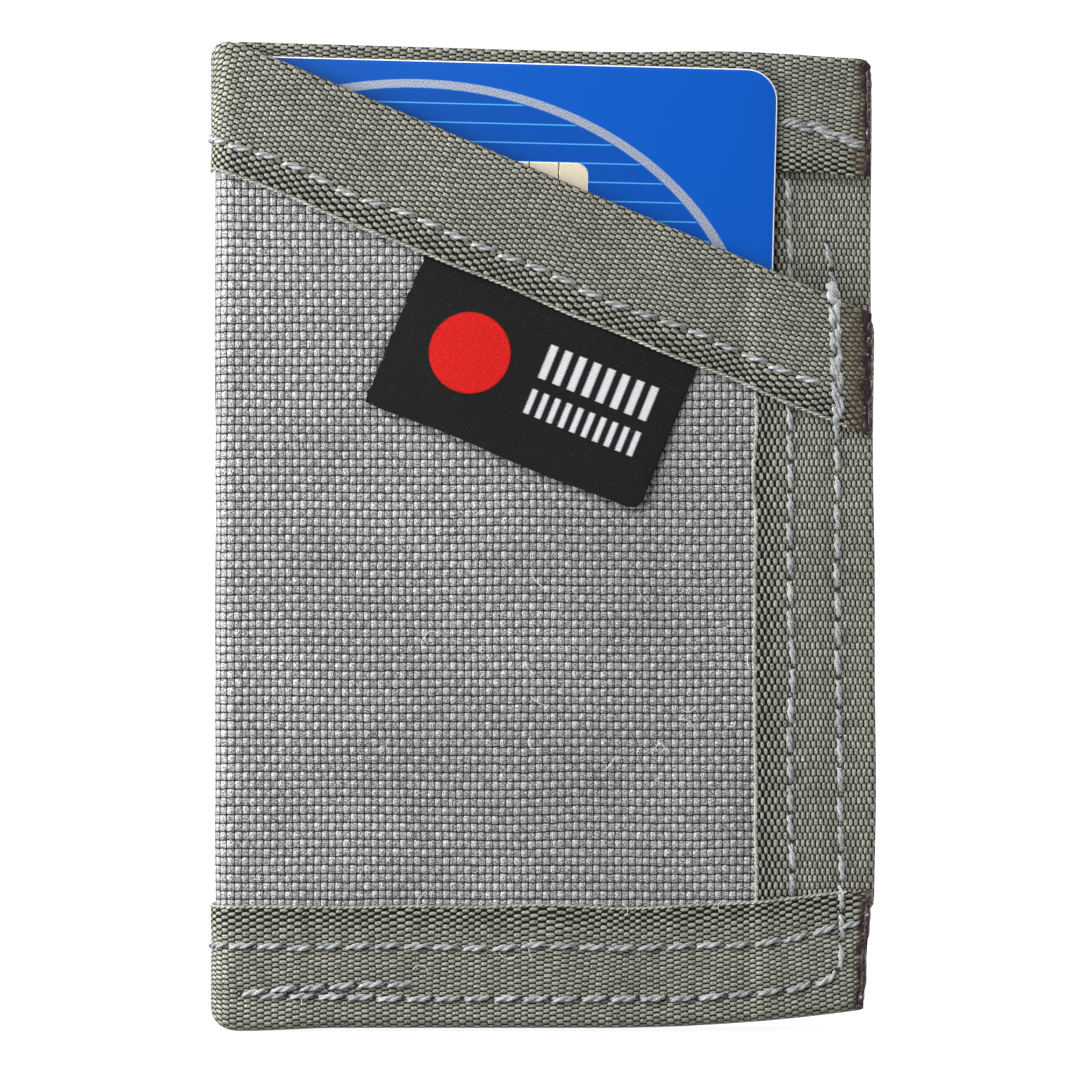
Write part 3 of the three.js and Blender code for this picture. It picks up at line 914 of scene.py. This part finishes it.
def chip_material():
    """Brushed gold contacts parted by fine dark grooves."""
    w = Wiring("chip_contacts", 0.34, metallic=0.55)
    u, v = w.uv()
    x, z = u - CHIP_GROOVE_X, v - CHIP_OFFSET[1]
    middle_ends = w.ramp(abs(z), 2.4, 2.5)
    upright = ((x, -2.95, 1.0), (x, 0.0, middle_ends), (x, 2.95, 1.0))
    groove = 0.0
    for axis, place, ends in (*upright, (z, -2.4, 1.0), (z, 2.4, 1.0)):
        groove = w.most(groove, w.ramp(abs(axis - place), 0.13, 0.06) * ends)
    brush = w.grain(u * 1.5, v * 30.0)
    metal = w.mix(w.ramp(brush, 0.3, 0.7), linear(186, 175, 150), linear(206, 198, 180))
    colour = w.mix(groove, metal, linear(96, 88, 76))
    return w.finish(colour, brush * 0.1 - groove, 0.03)


# The second colour given to each weave is painted shade for the gaps between yarns and floats.
NYLON = plain_weave("nylon_weave", linear(114, 116, 115), linear(7, 8, 8))
INNER_NYLON = plain_weave("inner_nylon_weave", linear(92, 94, 92), linear(14, 15, 15), 0.5, 0.6)
RIBBON_COLOURS = linear(105, 105, 96), linear(2, 2, 2)
RIBBON = ribbon_weave("ribbon_weave", *RIBBON_COLOURS)
RIBBON_CUT = ribbon_weave("ribbon_weave_cut", *RIBBON_COLOURS, melted=0.95, browned=2.4)
RIBBON_CUT_LOW = ribbon_weave(
    "ribbon_weave_cut_low", *RIBBON_COLOURS, melted=1.35, browned=2.0, lean=BOTTOM_CUT_LEAN,
)
RIBBON_MELTED = ribbon_weave("ribbon_weave_melted", *RIBBON_COLOURS, melted=1.3, browned=3.8)
THREAD = thread_material("thread", linear(138, 140, 140), linear(74, 75, 78))
CORD = thread_material("selvage_cord", linear(138, 138, 130), linear(66, 66, 61))
# Near-black colour for the discs of painted shade at the needle holes.
HOLE_SHADE = thread_material("needle_hole_shade", linear(14, 14, 12), linear(6, 6, 6))
FRAY = thread_material("label_fray", linear(60, 59, 58), linear(22, 22, 22))
LINT = thread_material("lint", linear(196, 196, 194), linear(150, 150, 148))
LABEL = label_material()
CARD_PRINT = card_print_material()
CARD_CORE = card_plain_material("card_core", linear(176, 178, 188))
CARD_BACK = card_plain_material("card_back", linear(50, 63, 88), linear(18, 18, 21))
CHIP = chip_material()
SEALED = sealed_material("sealed_ribbon", linear(58, 47, 45), linear(23, 18, 20))

# ---- Pieces: panels ----

BEND_START = {side: (-HALF_WIDTH * MM, side * (HALF_THICK - FOLD_RADIUS) * MM, 0) for side in (FRONT, BACK)}
BEND_END = {side: (FOLD_X * MM, side * HALF_THICK * MM, 0) for side in (FRONT, BACK)}


def follow(piece, side, slot_name, *nodes):
    """The piece keeps its rest shape, baked into its mesh, and stands for CAD nodes."""
    if side == FRONT:
        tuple(BEND_START[side])
        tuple(BEND_END[side])
        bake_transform(piece)
    else:
        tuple(BEND_END[side])
        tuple(BEND_START[side])
        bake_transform(piece)
    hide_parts(*nodes)


def fixed(piece, body, slot_name, *nodes):
    """The piece rides on one body and stands for CAD nodes."""
    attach(piece, body)
    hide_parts(*nodes)


def wrapped_panel(name, side, depth, step, edge, depth_of):
    """A nylon panel from the spine's middle to the free edge, inset from the bottom and upper edges."""
    share = np.linspace(0, 1, int(PANEL_TOP / step))
    nominal = np.full(len(share), depth)

    def lower(x):
        return bottom_edge(x) + PANEL_INSET

    def upper(x):
        return edge(x) - PANEL_INSET

    def shift_of(x):
        reach = on_face(x)
        z = lower(reach) + share * (upper(reach) - lower(reach))
        return depth_of(x, z) - depth, z

    points, length, x = wrap(side, fold_marks(step), nominal, PANEL_RIGHT, shift_of)
    uv = np.stack([length + 0 * points[..., 2], points[..., 2]], -1)
    piece = cloth(name, points, uv, PANEL_THICK, NYLON)
    reach = on_face(x[:, 0])
    tall = upper(reach) - lower(reach)
    area = np.sum(np.diff(length[:, 0]) * (tall[1:] + tall[:-1]) / 2)
    return piece


def build_panels(side):
    name = SIDE_NAME[side]
    pocket = wrapped_panel(
        f"outer_pocket_{name}", side, POCKET_DEPTH, 0.55,
        lambda x: mouth_edge(side, x), lambda x, z: pocket_depth(side, x, z),
    )
    follow(pocket, side, "nylon", f"outer_pocket_panel_{name}", "outer_pocket_panel_spine")
    shell = wrapped_panel(
        f"shell_{name}", side, SHELL_DEPTH, 1.1, shell_top, lambda x, z: SHELL_DEPTH + 0 * x * z,
    )
    follow(shell, side, "nylon", f"shell_panel_{name}", "shell_panel_spine")


# ---- Pieces: ribbons folded over an edge ----


def ribbon_section(outer, inner, width, inner_width, corner):
    """Columns across a folded ribbon, from its outer selvage over the crest to its inner one.

    Each column has a leg share (0 at the crest, 1 at the selvage), an offset from the crest, a
    nominal depth, the share of the way from the outer leg to the inner one, and whether it is on
    the inner leg.
    """
    leg = np.linspace(1, 0, int((width - corner) / COLUMN_STEP), endpoint=False)
    turn = np.linspace(0, math.pi / 2, 6)
    back_turn = turn[1:]
    web = np.linspace(outer + corner, inner - corner, max(int((inner - outer) / 0.6), 2))[1:-1]
    back_leg = np.linspace(0, 1, int((inner_width - corner) / (2 * COLUMN_STEP)) + 1)[1:]
    parts = (
        (leg, corner, outer),
        (0, corner * (1 - np.sin(turn)), outer + corner * (1 - np.cos(turn))),
        (0, 0, web),
        (0, corner * (1 - np.cos(back_turn)), inner - corner * (1 - np.sin(back_turn))),
        (back_leg, corner, inner),
    )
    share, offset, depth = np.concatenate([np.stack(np.broadcast_arrays(*part)) for part in parts], 1)
    back = np.clip((depth - outer) / (inner - outer), 0, 1)
    is_inner = np.arange(len(share)) >= len(share) - len(back_leg)
    return share, offset, depth, back, is_inner


def across_lengths(section, width, inner_width, corner):
    """Length across the flat ribbon at each column, from the outer selvage."""
    share, offset, depth, _, is_inner = section
    reach = np.where(is_inner, inner_width, width)
    down = offset + share * (reach - corner)
    steps = np.hypot(np.diff(down), np.diff(depth))
    return np.concatenate([[0], np.cumsum(steps)]), down


def wrapped_ribbon(
    name, side, layers, edge, selvage, depth_of, material, width=RIBBON_WIDTH, rising=-1, step=0.4,
    lean=0.0,
):
    """A ribbon folded over an upper edge (rising -1) or a lower edge (rising 1), round the fold.

    layers is the depth of its two legs, and lean is how much shorter the cut end is at the crest
    than at the selvages.
    """
    corner = min((layers[1] - layers[0]) / 2, 0.9)
    section = ribbon_section(*layers, width, INNER_LEG_WIDTH, corner)
    share, offset, nominal, back, is_inner = section
    right = HALF_WIDTH - 0.15 - lean * (1 - share)

    def shift_of(x):
        reach = on_face(x)
        leg = np.where(is_inner, INNER_LEG_WIDTH, np.abs(edge(reach) - selvage(reach)))
        down = offset + share * (leg - corner)
        z = edge(reach) + rising * down
        return (depth_of(x, z) - nominal[0]) * (1 - back), z

    points, length, x = wrap(side, fold_marks(step), nominal, right, shift_of)
    reach = on_face(x)
    slope = np.arctan(rising * (selvage(reach + 1.5) - selvage(reach - 1.5)) / 3)
    run = np.concatenate([[0], np.cumsum(np.diff(length[:, 0]) / np.cos(slope[1:, 0]))])[:, None]
    lengths, down = across_lengths(section, RIBBON_WIDTH, INNER_LEG_WIDTH, corner)
    uv = np.stack([run + down * np.sin(slope), lengths * np.cos(slope)], -1)
    return cloth(name, points, uv, RIBBON_THICK, material)


def upright_ribbon(name, side, outer, inner, upper, depth_of, crest_x):
    """A ribbon folded over the free edge of one half, from the bottom up to a height for each x."""
    width = HALF_WIDTH - RIBBON_LEFT
    corner = min((inner - outer) / 2, 0.6)
    section = ribbon_section(outer, inner, width, width, corner)
    share, _, nominal, back, is_inner = section
    lengths, down = across_lengths(section, width, width, corner)
    low, high = bottom_edge(crest_x - down) + 1.2, upper(crest_x - down)
    rise = np.linspace(0, 1, 140)[:, None]
    z = low + rise * (high - low)
    edge_wave = (side_selvage(side, z) - RIBBON_LEFT) * share ** 6 * ~is_inner
    tuck = (BOTTOM_CUT_LEAN + 0.35) * smooth(BOTTOM_HEIGHT + 0.6, BOTTOM_HEIGHT - 1.4, z)
    x = crest_x - down + edge_wave - (0.12 * ripple(z, 0 * z, 30, 77) + tuck) * (1 - share)
    shift = (depth_of(x, z) - outer) * (1 - back)
    points = np.stack([x, side * (HALF_THICK - nominal - shift), z], -1)
    return cloth(name, points, np.stack([z, lengths + 0 * z], -1), RIBBON_THICK, RIBBON)


def build_ribbons(side):
    name = SIDE_NAME[side]
    mouth = wrapped_ribbon(
        f"mouth_ribbon_{name}", side, (SLANT_DEPTH, POCKET_INNER_LEG),
        lambda x: mouth_edge(side, x), lambda x: mouth_selvage(side, x),
        lambda x, z: mouth_depth(side, x, z), RIBBON_MELTED,
    )
    mouth_node = "slant_mouth_binding_front" if side == FRONT else "mouth_binding_back"
    follow(mouth, side, "ribbon", mouth_node, "mouth_binding_spine")
    bottom = wrapped_ribbon(
        f"bottom_ribbon_{name}", side, (SLANT_DEPTH, INNER_BACK_LEG), bottom_edge, bottom_selvage,
        lambda x, z: bottom_depth(side, x, z), RIBBON_CUT_LOW, rising=1, lean=BOTTOM_CUT_LEAN,
    )
    follow(bottom, side, "ribbon", f"bottom_binding_{name}", "bottom_binding_spine")
    top = wrapped_ribbon(
        f"shell_top_ribbon_{name}", side, (SHELL_OUTER_LEG, SHELL_INNER_LEG), shell_top,
        shell_top_selvage, shell_top_depth, RIBBON_CUT, SHELL_TOP_WIDTH, step=0.5,
    )
    follow(top, side, "ribbon", f"shell_top_binding_{name}", "shell_top_binding_spine")
    pocket_side = upright_ribbon(
        f"pocket_side_ribbon_{name}", side, SIDE_DEPTH, POCKET_INNER_LEG,
        lambda x: mouth_edge(side, x) - 1.2, lambda x, z: side_depth(side, x, z), HALF_WIDTH,
    )
    fixed(pocket_side, SIDE_BODY[side], "ribbon", f"pocket_side_binding_{name}")
    shell_side = upright_ribbon(
        f"shell_side_ribbon_{name}", side, SHELL_SIDE_DEPTH, INNER_BACK_LEG - 0.25,
        lambda x: shell_top(x) - 1.0, lambda x, z: SHELL_SIDE_DEPTH + 0 * x * z, HALF_WIDTH - 0.2,
    )
    fixed(shell_side, SIDE_BODY[side], "ribbon", f"shell_side_binding_{name}")


# ---- Pieces: inner pockets ----


def build_inner_pocket(side):
    name = SIDE_NAME[side]
    x, z = np.meshgrid(
        np.linspace(INNER_LEFT, INNER_RIGHT, int((INNER_RIGHT - INNER_LEFT) / 1.2)),
        np.linspace(CURL_RISE + 0.4, INNER_TOP - 0.6, int((INNER_TOP - CURL_RISE - 1.0) / 1.2)),
        indexing="ij",
    )
    y = side * (HALF_THICK - INNER_POCKET_DEPTH - 0.05 * ripple(x, z, 30, 91 + side))
    uv = np.stack([x, z], -1)
    pocket = cloth(f"inner_pocket_{name}", np.stack([x, y, z], -1), uv, 0.4, INNER_NYLON)
    fixed(pocket, SIDE_BODY[side], "inner_nylon", f"inner_pocket_panel_{name}")

    widths_and_corner = INNER_MOUTH_WIDTH, INNER_MOUTH_WIDTH, 0.32
    section = ribbon_section(INNER_FRONT_LEG, INNER_BACK_LEG, *widths_and_corner)
    lengths, down = across_lengths(section, *widths_and_corner)
    x = np.linspace(INNER_LEFT, RIBBON_LEFT - 0.3, 90)[:, None]
    x, y, z, v = np.broadcast_arrays(x, side * (HALF_THICK - section[2]), INNER_TOP - down, lengths)
    uv = np.stack([x, v], -1)
    ribbon = cloth(f"inner_mouth_ribbon_{name}", np.stack([x, y, z], -1), uv, 0.32, RIBBON)
    fixed(ribbon, SIDE_BODY[side], "ribbon", f"inner_pocket_binding_{name}")


# ---- Pieces: stitching, selvage cords and sealed ribbon ends ----

SHELL_SKIN = flat_skin(lambda x, z: SHELL_SIDE_DEPTH - RIBBON_THICK / 2 + 0 * x)
SHELL_TOP_SKIN = flat_skin(lambda x, z: shell_top_depth(x, z) - RIBBON_THICK / 2)
INSIDE_SKIN = flat_skin(inside_depth, -1)
INNER_MOUTH_SKIN = flat_skin(lambda x, z: INNER_BACK_LEG + 0.16 + 0 * x, -1)


def build_outer_stitching(side):
    name = SIDE_NAME[side]
    rows = ROWS[side]
    crossing = Bundle()
    for seed, row_name in enumerate(("mouth", "bottom"), 101):
        sew(crossing, side, rows[row_name], seed)
    mouth_node = "slant_mouth_stitching_front" if side == FRONT else "mouth_stitching_back"
    follow(
        crossing.build(f"fold_stitching_{name}", THREAD), side, "thread",
        mouth_node, f"bottom_stitching_{name}", "mouth_stitching_spine", "bottom_stitching_spine",
    )
    edge = Bundle()
    for seed, row_name in enumerate(("side", "join", "corner_tack"), 103):
        sew(edge, side, rows[row_name], seed)
    top = rows["join"][0]
    knot = back_tack((top[0] + 0.6, top[1] - 5.6), (JOIN_X + 0.2, top[1] - 18.4), 0)
    sew(edge, side, knot, 106, pitch=2.5, shift=0.27, radius=0.2, slant=-0.1)
    sew(edge, side, knot, 107, pitch=2.5, offset=1.0, shift=-0.27, radius=0.2, slant=0.12)
    knot_skin = flat_skin(lambda x, z: mouth_depth(side, x, z) - RIBBON_THICK / 2)
    bead = back_tack((top[0] + 0.3, top[1] - 4.3), (top[0] + 0.6, top[1] - 6.6), 0)
    for turn in range(3):
        sew(edge, side, bead, 108 + turn, knot_skin, 2.3, shift=0.2 * (turn - 1), radius=0.3, slant=0.1)
    fixed(
        edge.build(f"edge_stitching_{name}", THREAD), SIDE_BODY[side], "thread",
        f"side_stitching_{name}", f"join_stitching_{name}",
    )
    # Dark discs at the needle holes are painted shade where the thread dives in.
    holes = Bundle()
    for row_name in ("side", "join", "corner_tack"):
        paint_hole_shade(holes, side, rows[row_name])
    for row_name in ("mouth", "bottom"):
        row = rows[row_name]
        paint_hole_shade(holes, side, row[row[:, 0] > FOLD_X + 0.8])
    fixed(holes.build(f"needle_hole_shade_{name}", HOLE_SHADE), SIDE_BODY[side], "thread")


def build_shell_stitching(side):
    name = SIDE_NAME[side]
    rows = Bundle()
    x = np.linspace(FOLD_X + 2.5, HALF_WIDTH - 0.5, 50)
    top = np.stack([x, shell_top(x) - 7.3 + 0.5 * smooth(22, 25, x) - 1.5 * smooth(26, 32, x)], 1)
    sew(rows, side, top, 121, SHELL_TOP_SKIN)
    tack = top[x > 23.2]
    sew(rows, side, tack, 122, SHELL_TOP_SKIN, pitch=2.6, shift=0.26, radius=0.21, slant=0.12)
    sew(rows, side, tack, 123, SHELL_TOP_SKIN, pitch=2.6, offset=1.2, shift=-0.26, radius=0.21, slant=-0.14)
    z = np.linspace(BOTTOM_HEIGHT, shell_top(SIDE_ROW_X) - 12, 60)
    down = np.stack([SIDE_ROW_X + 0.15 * ripple(z, 0 * z, 12, 124), z], 1)
    sew(rows, side, down, 125, SHELL_SKIN)
    fixed(
        rows.build(f"shell_stitching_{name}", THREAD), SIDE_BODY[side], "thread",
        f"shell_top_stitching_{name}",
    )


def build_inner_stitching(side):
    name = SIDE_NAME[side]
    rows = Bundle()
    stitch_x = INNER_LEFT + 1.5
    row_z = INNER_TOP - 11.5 + SEAM_OFFSET
    mouth = np.array([(stitch_x + 2, row_z), (RIBBON_LEFT - 1, row_z)])
    sew(rows, side, mouth, 131, INNER_MOUTH_SKIN)
    left = np.array([(stitch_x, INNER_TOP - 12.2), (stitch_x, BOTTOM_HEIGHT + 1)])
    sew(rows, side, left, 132, INSIDE_SKIN)
    bottom = ROWS[side]["bottom"]
    sew(rows, side, bottom[bottom[:, 0] > FOLD_X + 2], 133, INSIDE_SKIN)
    join = ROWS[side]["join"]
    sew(rows, side, join[join[:, 1] > BOTTOM_HEIGHT + 0.5], 134, INSIDE_SKIN)
    z = np.linspace(BOTTOM_HEIGHT + 0.8, shell_top(SIDE_ROW_X) - 3, 40)
    sew(rows, side, np.stack([SIDE_ROW_X + 0 * z, z], 1), 135, INSIDE_SKIN)
    fixed(
        rows.build(f"inner_stitching_{name}", THREAD), SIDE_BODY[side], "thread",
        f"inner_pocket_stitching_{name}", f"inner_mouth_stitching_{name}",
    )


def build_cords(side):
    name = SIDE_NAME[side]
    crossing = Bundle()
    x = np.linspace(SPINE_MIDDLE_X, HALF_WIDTH - 2.6, 520)
    reach = on_face(x)
    selvage_cord(crossing, side, x, mouth_selvage(side, reach) - 0.04, (0, 0.5))
    selvage_cord(crossing, side, x, bottom_selvage(reach) + 0.04, (0, -0.5))
    follow(crossing.build(f"fold_selvages_{name}", CORD), side, "ribbon")
    edge = Bundle()
    z = np.linspace(bottom_selvage(RIBBON_LEFT) + 0.1, mouth_selvage(side, RIBBON_LEFT) - 0.3, 330)
    selvage_cord(edge, side, side_selvage(side, z) - 0.06, z, (0.5, 0), radius=0.13)
    fixed(edge.build(f"edge_selvages_{name}", CORD), SIDE_BODY[side], "ribbon")


def melted_end(bundle, side, low, high, depth, seed, x, radius=0.27, lean=0.0):
    """A lumpy bead where a ribbon was cut with heat, lean mm further in at its low end."""
    z = np.linspace(low, high, int((high - low) / 0.22))
    x = x - lean * (high - z) / (high - low)
    lump = ripple(z, 0 * z, 1.6, seed)
    x = x + 0.07 * ripple(z, 0 * z, 4, seed + 1)
    centres = np.stack([x, side * (HALF_THICK - depth + 0.05 * lump), z], -1)
    ends = np.minimum(smooth(low - 0.3, low + 0.5, z), smooth(high + 0.3, high - 0.5, z))
    bundle.add_tube(centres, (0, side, 0), radius * (1 + 0.16 * lump) * ends, 9)


def build_sealed_ends(side):
    ends = Bundle()
    x = HALF_WIDTH
    lifted = SLANT_DEPTH - OVERLAP_LIFT - 0.1
    low, high = mouth_selvage(side, x), mouth_edge(side, x)
    melted_end(ends, side, low, high - 0.5, lifted + 0.1, 140, x - 0.3)
    melted_end(ends, side, low + 0.3, high - 1.4, lifted + 0.2, 141, x - 0.7)
    low, high, lean = bottom_edge(x), bottom_selvage(x), BOTTOM_CUT_LEAN
    for seed, depth in enumerate((lifted, 1.2, 2.2, 3.2, 4.2), 150):
        is_leg = depth in (lifted, 4.2)
        top, inset = (high, 0) if is_leg else (low + 1.2, lean)
        melted_end(ends, side, low + 0.35, top, depth, seed, x - 0.4 - inset, 0.3, lean - inset)
    low, high = shell_top_selvage(x), shell_top(x)
    melted_end(ends, side, low + 0.2, high - 0.1, shell_top_depth(x, high), 160, x - 0.35)
    melted_end(ends, side, low + 0.9, high - 0.1, SHELL_INNER_LEG, 161, x - 0.35)
    fixed(ends.build(f"sealed_ends_{SIDE_NAME[side]}", SEALED), SIDE_BODY[side], "ribbon")


for builder in (build_panels, build_ribbons, build_inner_pocket):
    for half in (FRONT, BACK):
        builder(half)
for half in (FRONT, BACK):
    build_outer_stitching(half)
    build_shell_stitching(half)
    build_inner_stitching(half)
    build_cords(half)
    build_sealed_ends(half)


# ---- Pieces: label ----

LABEL_HINGE = [value / MM for value in JOINTS["label_flap"]["pos_m"]]
LABEL_ALONG = (0.925314, -0.379203)
LABEL_DOWN = (-0.379203, -0.925314)
LABEL_HALF = 14.75
LABEL_DROP = 15.4
LABEL_TUCK = 1.6
LABEL_SHIFT = 0.3
LABEL_THICK = 0.28


def label_place(s, t):
    """x and z of a point on the label, s mm along it and t mm below its sewn edge."""
    s = s + LABEL_SHIFT
    x = LABEL_HINGE[0] + s * LABEL_ALONG[0] + t * LABEL_DOWN[0]
    z = LABEL_HINGE[2] + s * LABEL_ALONG[1] + t * LABEL_DOWN[1]
    return x, z


def label_depth(s, t):
    x, z = label_place(s, t)
    under = POCKET_DEPTH - PANEL_THICK / 2 - LABEL_THICK / 2
    lift = 0.04 + 0.24 * smooth(3, 15, t) * (1 + 0.35 * ripple(s, t, 26, 171))
    return under - bulge(FRONT, x, z) - lift + 0.12 * smooth(0.5, -0.5, t)


def build_label():
    share = np.linspace(0, 1, 92)[:, None]
    t = np.linspace(-LABEL_TUCK, LABEL_DROP, 50)[None, :]
    corner = 1.3
    right = LABEL_HALF - corner * quarter_round((t - LABEL_DROP + corner) / corner)
    left = -LABEL_HALF + 0.09 * ripple(t, 0 * t, 0.9, 172)
    s = left + share * (right - left)
    t = t + 0.1 * ripple(s, 0 * s, 12, 173) * smooth(8, LABEL_DROP, t)
    x, z = label_place(s, t)
    points = np.stack([x, -(HALF_THICK - label_depth(s, t)), z], -1)
    label = cloth("label", points, np.stack([s, t], -1), LABEL_THICK, LABEL)
    fibres = Bundle()
    source = np.random.default_rng(174)
    for _ in range(90):
        where = source.uniform(0.4, LABEL_DROP)
        reach = source.uniform(0.25, 0.9)
        step = np.linspace(0, 1, 6)
        bend = source.normal(0, 0.35)
        s = -LABEL_HALF + 0.3 - step * (reach + 0.3)
        t = where + bend * step ** 2
        x, z = label_place(s, t)
        y = -(HALF_THICK - label_depth(s, t)) + 0.06 * source.normal() - 0.1 * step * source.uniform(0, 1)
        fibres.add_tube(np.stack([x, y, z], -1), (0, -1, 0), 0.035 * (1 - 0.6 * step), 4)
    fray = fibres.build("label_fray", FRAY)
    for piece in (label, fray):
        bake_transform(piece)
    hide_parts("woven_label")


build_label()

# ---- Pieces: loose fibres on the front ----


def build_lint():
    """A few fine pale fibres caught on the weave."""
    fibres = Bundle()
    source = np.random.default_rng(181)
    step = np.linspace(0, 1, 12)
    for _ in range(26):
        x, z = source.uniform(-29, 23), source.uniform(1.0, 46)
        turn = source.uniform(0, 2 * math.pi) + step * source.normal(0, 2.6)
        reach = source.uniform(0.08, 0.22)
        line_x = x + np.cumsum(np.cos(turn)) * reach
        line_z = z + np.cumsum(np.sin(turn)) * reach
        path, normal = outer_skin(FRONT, line_x, line_z, 0.03 + 0.12 * np.sin(math.pi * step))
        fibres.add_tube(path, normal, 0.022 + 0 * step, 4)
    fixed(fibres.build("lint", LINT), SIDE_BODY[FRONT], "thread")


build_lint()

# ---- Pieces: card and chip ----

CARD_LEAN = math.radians(0.9)
CARD_UP = Matrix.Rotation(CARD_LEAN, 3, "Y") @ Vector(JOINTS["card_slide"]["axis"])
CARD_RIGHT = CARD_UP.cross(Vector((0, -1, 0))).normalized()
CARD_SHIFT = (-0.4, 0.05, 0.0)
CARD_MIDDLE = [
    (low + high) / 2 / MM + shift for low, high, shift in zip(*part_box("card_body"), CARD_SHIFT)
]


def rounded_outline(width, height, corner, inset):
    turn = np.linspace(0, math.pi / 2, 12)
    loop = []
    for quarter, (sign_x, sign_z) in enumerate(((1, 1), (-1, 1), (-1, -1), (1, -1))):
        angle = turn + quarter * math.pi / 2
        radius = max(corner - inset, 0.05)
        middle = np.array([sign_x * (width / 2 - corner), sign_z * (height / 2 - corner)])
        loop.append(middle + radius * np.stack([np.cos(angle), np.sin(angle)], 1))
    return np.concatenate(loop)


def plate(name, width, height, corner, offset, profile, materials):
    """A rounded plate: a loop for each (inset, y) of its profile, capped at both ends.

    The first material is the front's, the last the back's, and the second the wall's.
    """
    loops, flat = [], []
    for inset, y in profile:
        outline = rounded_outline(width, height, corner, inset) + np.array(offset)
        place = CARD_MIDDLE + outline @ np.array([CARD_RIGHT, CARD_UP])
        place[:, 1] = CARD_MIDDLE[1] + y
        loops.append(place)
        flat.append(outline)
    count = len(loops[0])
    index = np.arange(count * len(loops)).reshape(len(loops), count)
    after = np.roll(index, -1, axis=1)
    walls = np.stack([index[:-1], index[1:], after[1:], after[:-1]], -1).reshape(-1, 4)
    faces = [index[0].tolist(), *walls.tolist(), index[-1, ::-1].tolist()]
    piece = make_object(name, np.concatenate(loops), faces, materials, np.concatenate(flat), 30)
    last = len(materials) - 1
    piece.data.polygons.foreach_set("material_index", [0, *[min(1, last)] * len(walls), last])
    return piece


def build_card():
    edge = 0.13
    body = plate(
        "card", CARD_WIDTH, CARD_HEIGHT, CARD_CORNER, (0, 0),
        [(edge, -CARD_HALF), (0.04, -CARD_HALF + 0.04), (0, -CARD_HALF + edge),
         (0, CARD_HALF - edge), (0.04, CARD_HALF - 0.04), (edge, CARD_HALF)],
        [CARD_PRINT, CARD_CORE, CARD_BACK],
    )
    chip = plate(
        "chip", CHIP_WIDTH, CHIP_HEIGHT, CHIP_CORNER, CHIP_OFFSET,
        [(0.1, -CARD_HALF - 0.05), (0.03, -CARD_HALF - 0.035), (0, -CARD_HALF - 0.01),
         (0, -CARD_HALF + 0.1)],
        [CHIP],
    )
    fixed(body, "card", "card_plastic", "card_body")
    fixed(chip, "card", "chip_metal", "card_chip")


build_card()

# ---- Camera, light and floor ----

LENS = 200
SENSOR = 36
FRAME_SIZE = 108
VIEW_X = -0.1
VIEW_Z = 48.7
FLOOR_GLOW = 0.94
FLOOR_REACH = 3.0
WORLD_GLOW = 0.3


def add_camera():
    data = bpy.data.cameras.new("camera")
    data.lens = LENS
    data.sensor_width = SENSOR
    camera = add_object("camera", data)
    distance = FRAME_SIZE * LENS / SENSOR
    camera.location = (VIEW_X * MM, -(HALF_THICK + distance) * MM, VIEW_Z * MM)
    camera.rotation_euler = (math.pi / 2, 0, 0)
    bpy.context.scene.camera = camera


def add_light(name, kind, towards, power, **settings):
    """A light turned so that it shines from the direction given by towards."""
    data = bpy.data.lights.new(name, kind)
    data.energy = power
    for key, value in settings.items():
        setattr(data, key, value)
    light = add_object(name, data)
    light.rotation_euler = Vector(towards).to_track_quat("Z", "Y").to_euler()
    return light


def add_panel(name, place, aim, size, power):
    light = add_light(name, "AREA", Vector(place) - Vector(aim), power, size=size)
    light.location = place


def add_stage():
    mesh = bpy.data.meshes.new("floor")
    corners = [(-1, -1), (1, -1), (1, 1), (-1, 1)]
    mesh.from_pydata([(FLOOR_REACH * x, FLOOR_REACH * y, 0) for x, y in corners], [], [(0, 1, 2, 3)])
    w = Wiring("pale_floor", 0.9, specular=0.0)
    w.shader.inputs["Base Color"].default_value = (0.12, 0.12, 0.12, 1)
    w.shader.inputs["Emission Color"].default_value = (1, 1, 1, 1)
    w.shader.inputs["Emission Strength"].default_value = FLOOR_GLOW
    mesh.materials.append(w.material)
    floor = add_object("floor", mesh)
    floor.location.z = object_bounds()[0][2] - 0.0001


def add_world():
    """A white backdrop that lights the object less than it shows."""
    world = bpy.data.worlds.new("studio")
    world.use_nodes = True
    tree = world.node_tree
    backdrop = tree.nodes["Background"]
    backdrop.inputs["Color"].default_value = (1, 1, 1, 1)
    seen = tree.nodes.new("ShaderNodeLightPath").outputs["Is Camera Ray"]
    strength = tree.nodes.new("ShaderNodeMapRange")
    strength.inputs["To Min"].default_value = WORLD_GLOW
    strength.inputs["To Max"].default_value = 1.1
    tree.links.new(seen, strength.inputs["Value"])
    tree.links.new(strength.outputs[0], backdrop.inputs["Strength"])
    bpy.context.scene.world = world
    bpy.context.scene.view_settings.view_transform = "Standard"


add_camera()
add_stage()
add_world()
add_light("key", "SUN", (-0.34, -0.55, 0.8), 5.7, angle=math.radians(12))
add_light("back_fill", "SUN", (-0.25, 0.6, 0.7), 2.2, angle=math.radians(30))
add_panel("edge", (-0.21, -0.06, 0.1), (-0.03, 0, 0.05), 0.14, 1.8)
add_panel("side_fill", (0.5, 0.02, 0.16), (0.03, 0, 0.05), 0.3, 3)
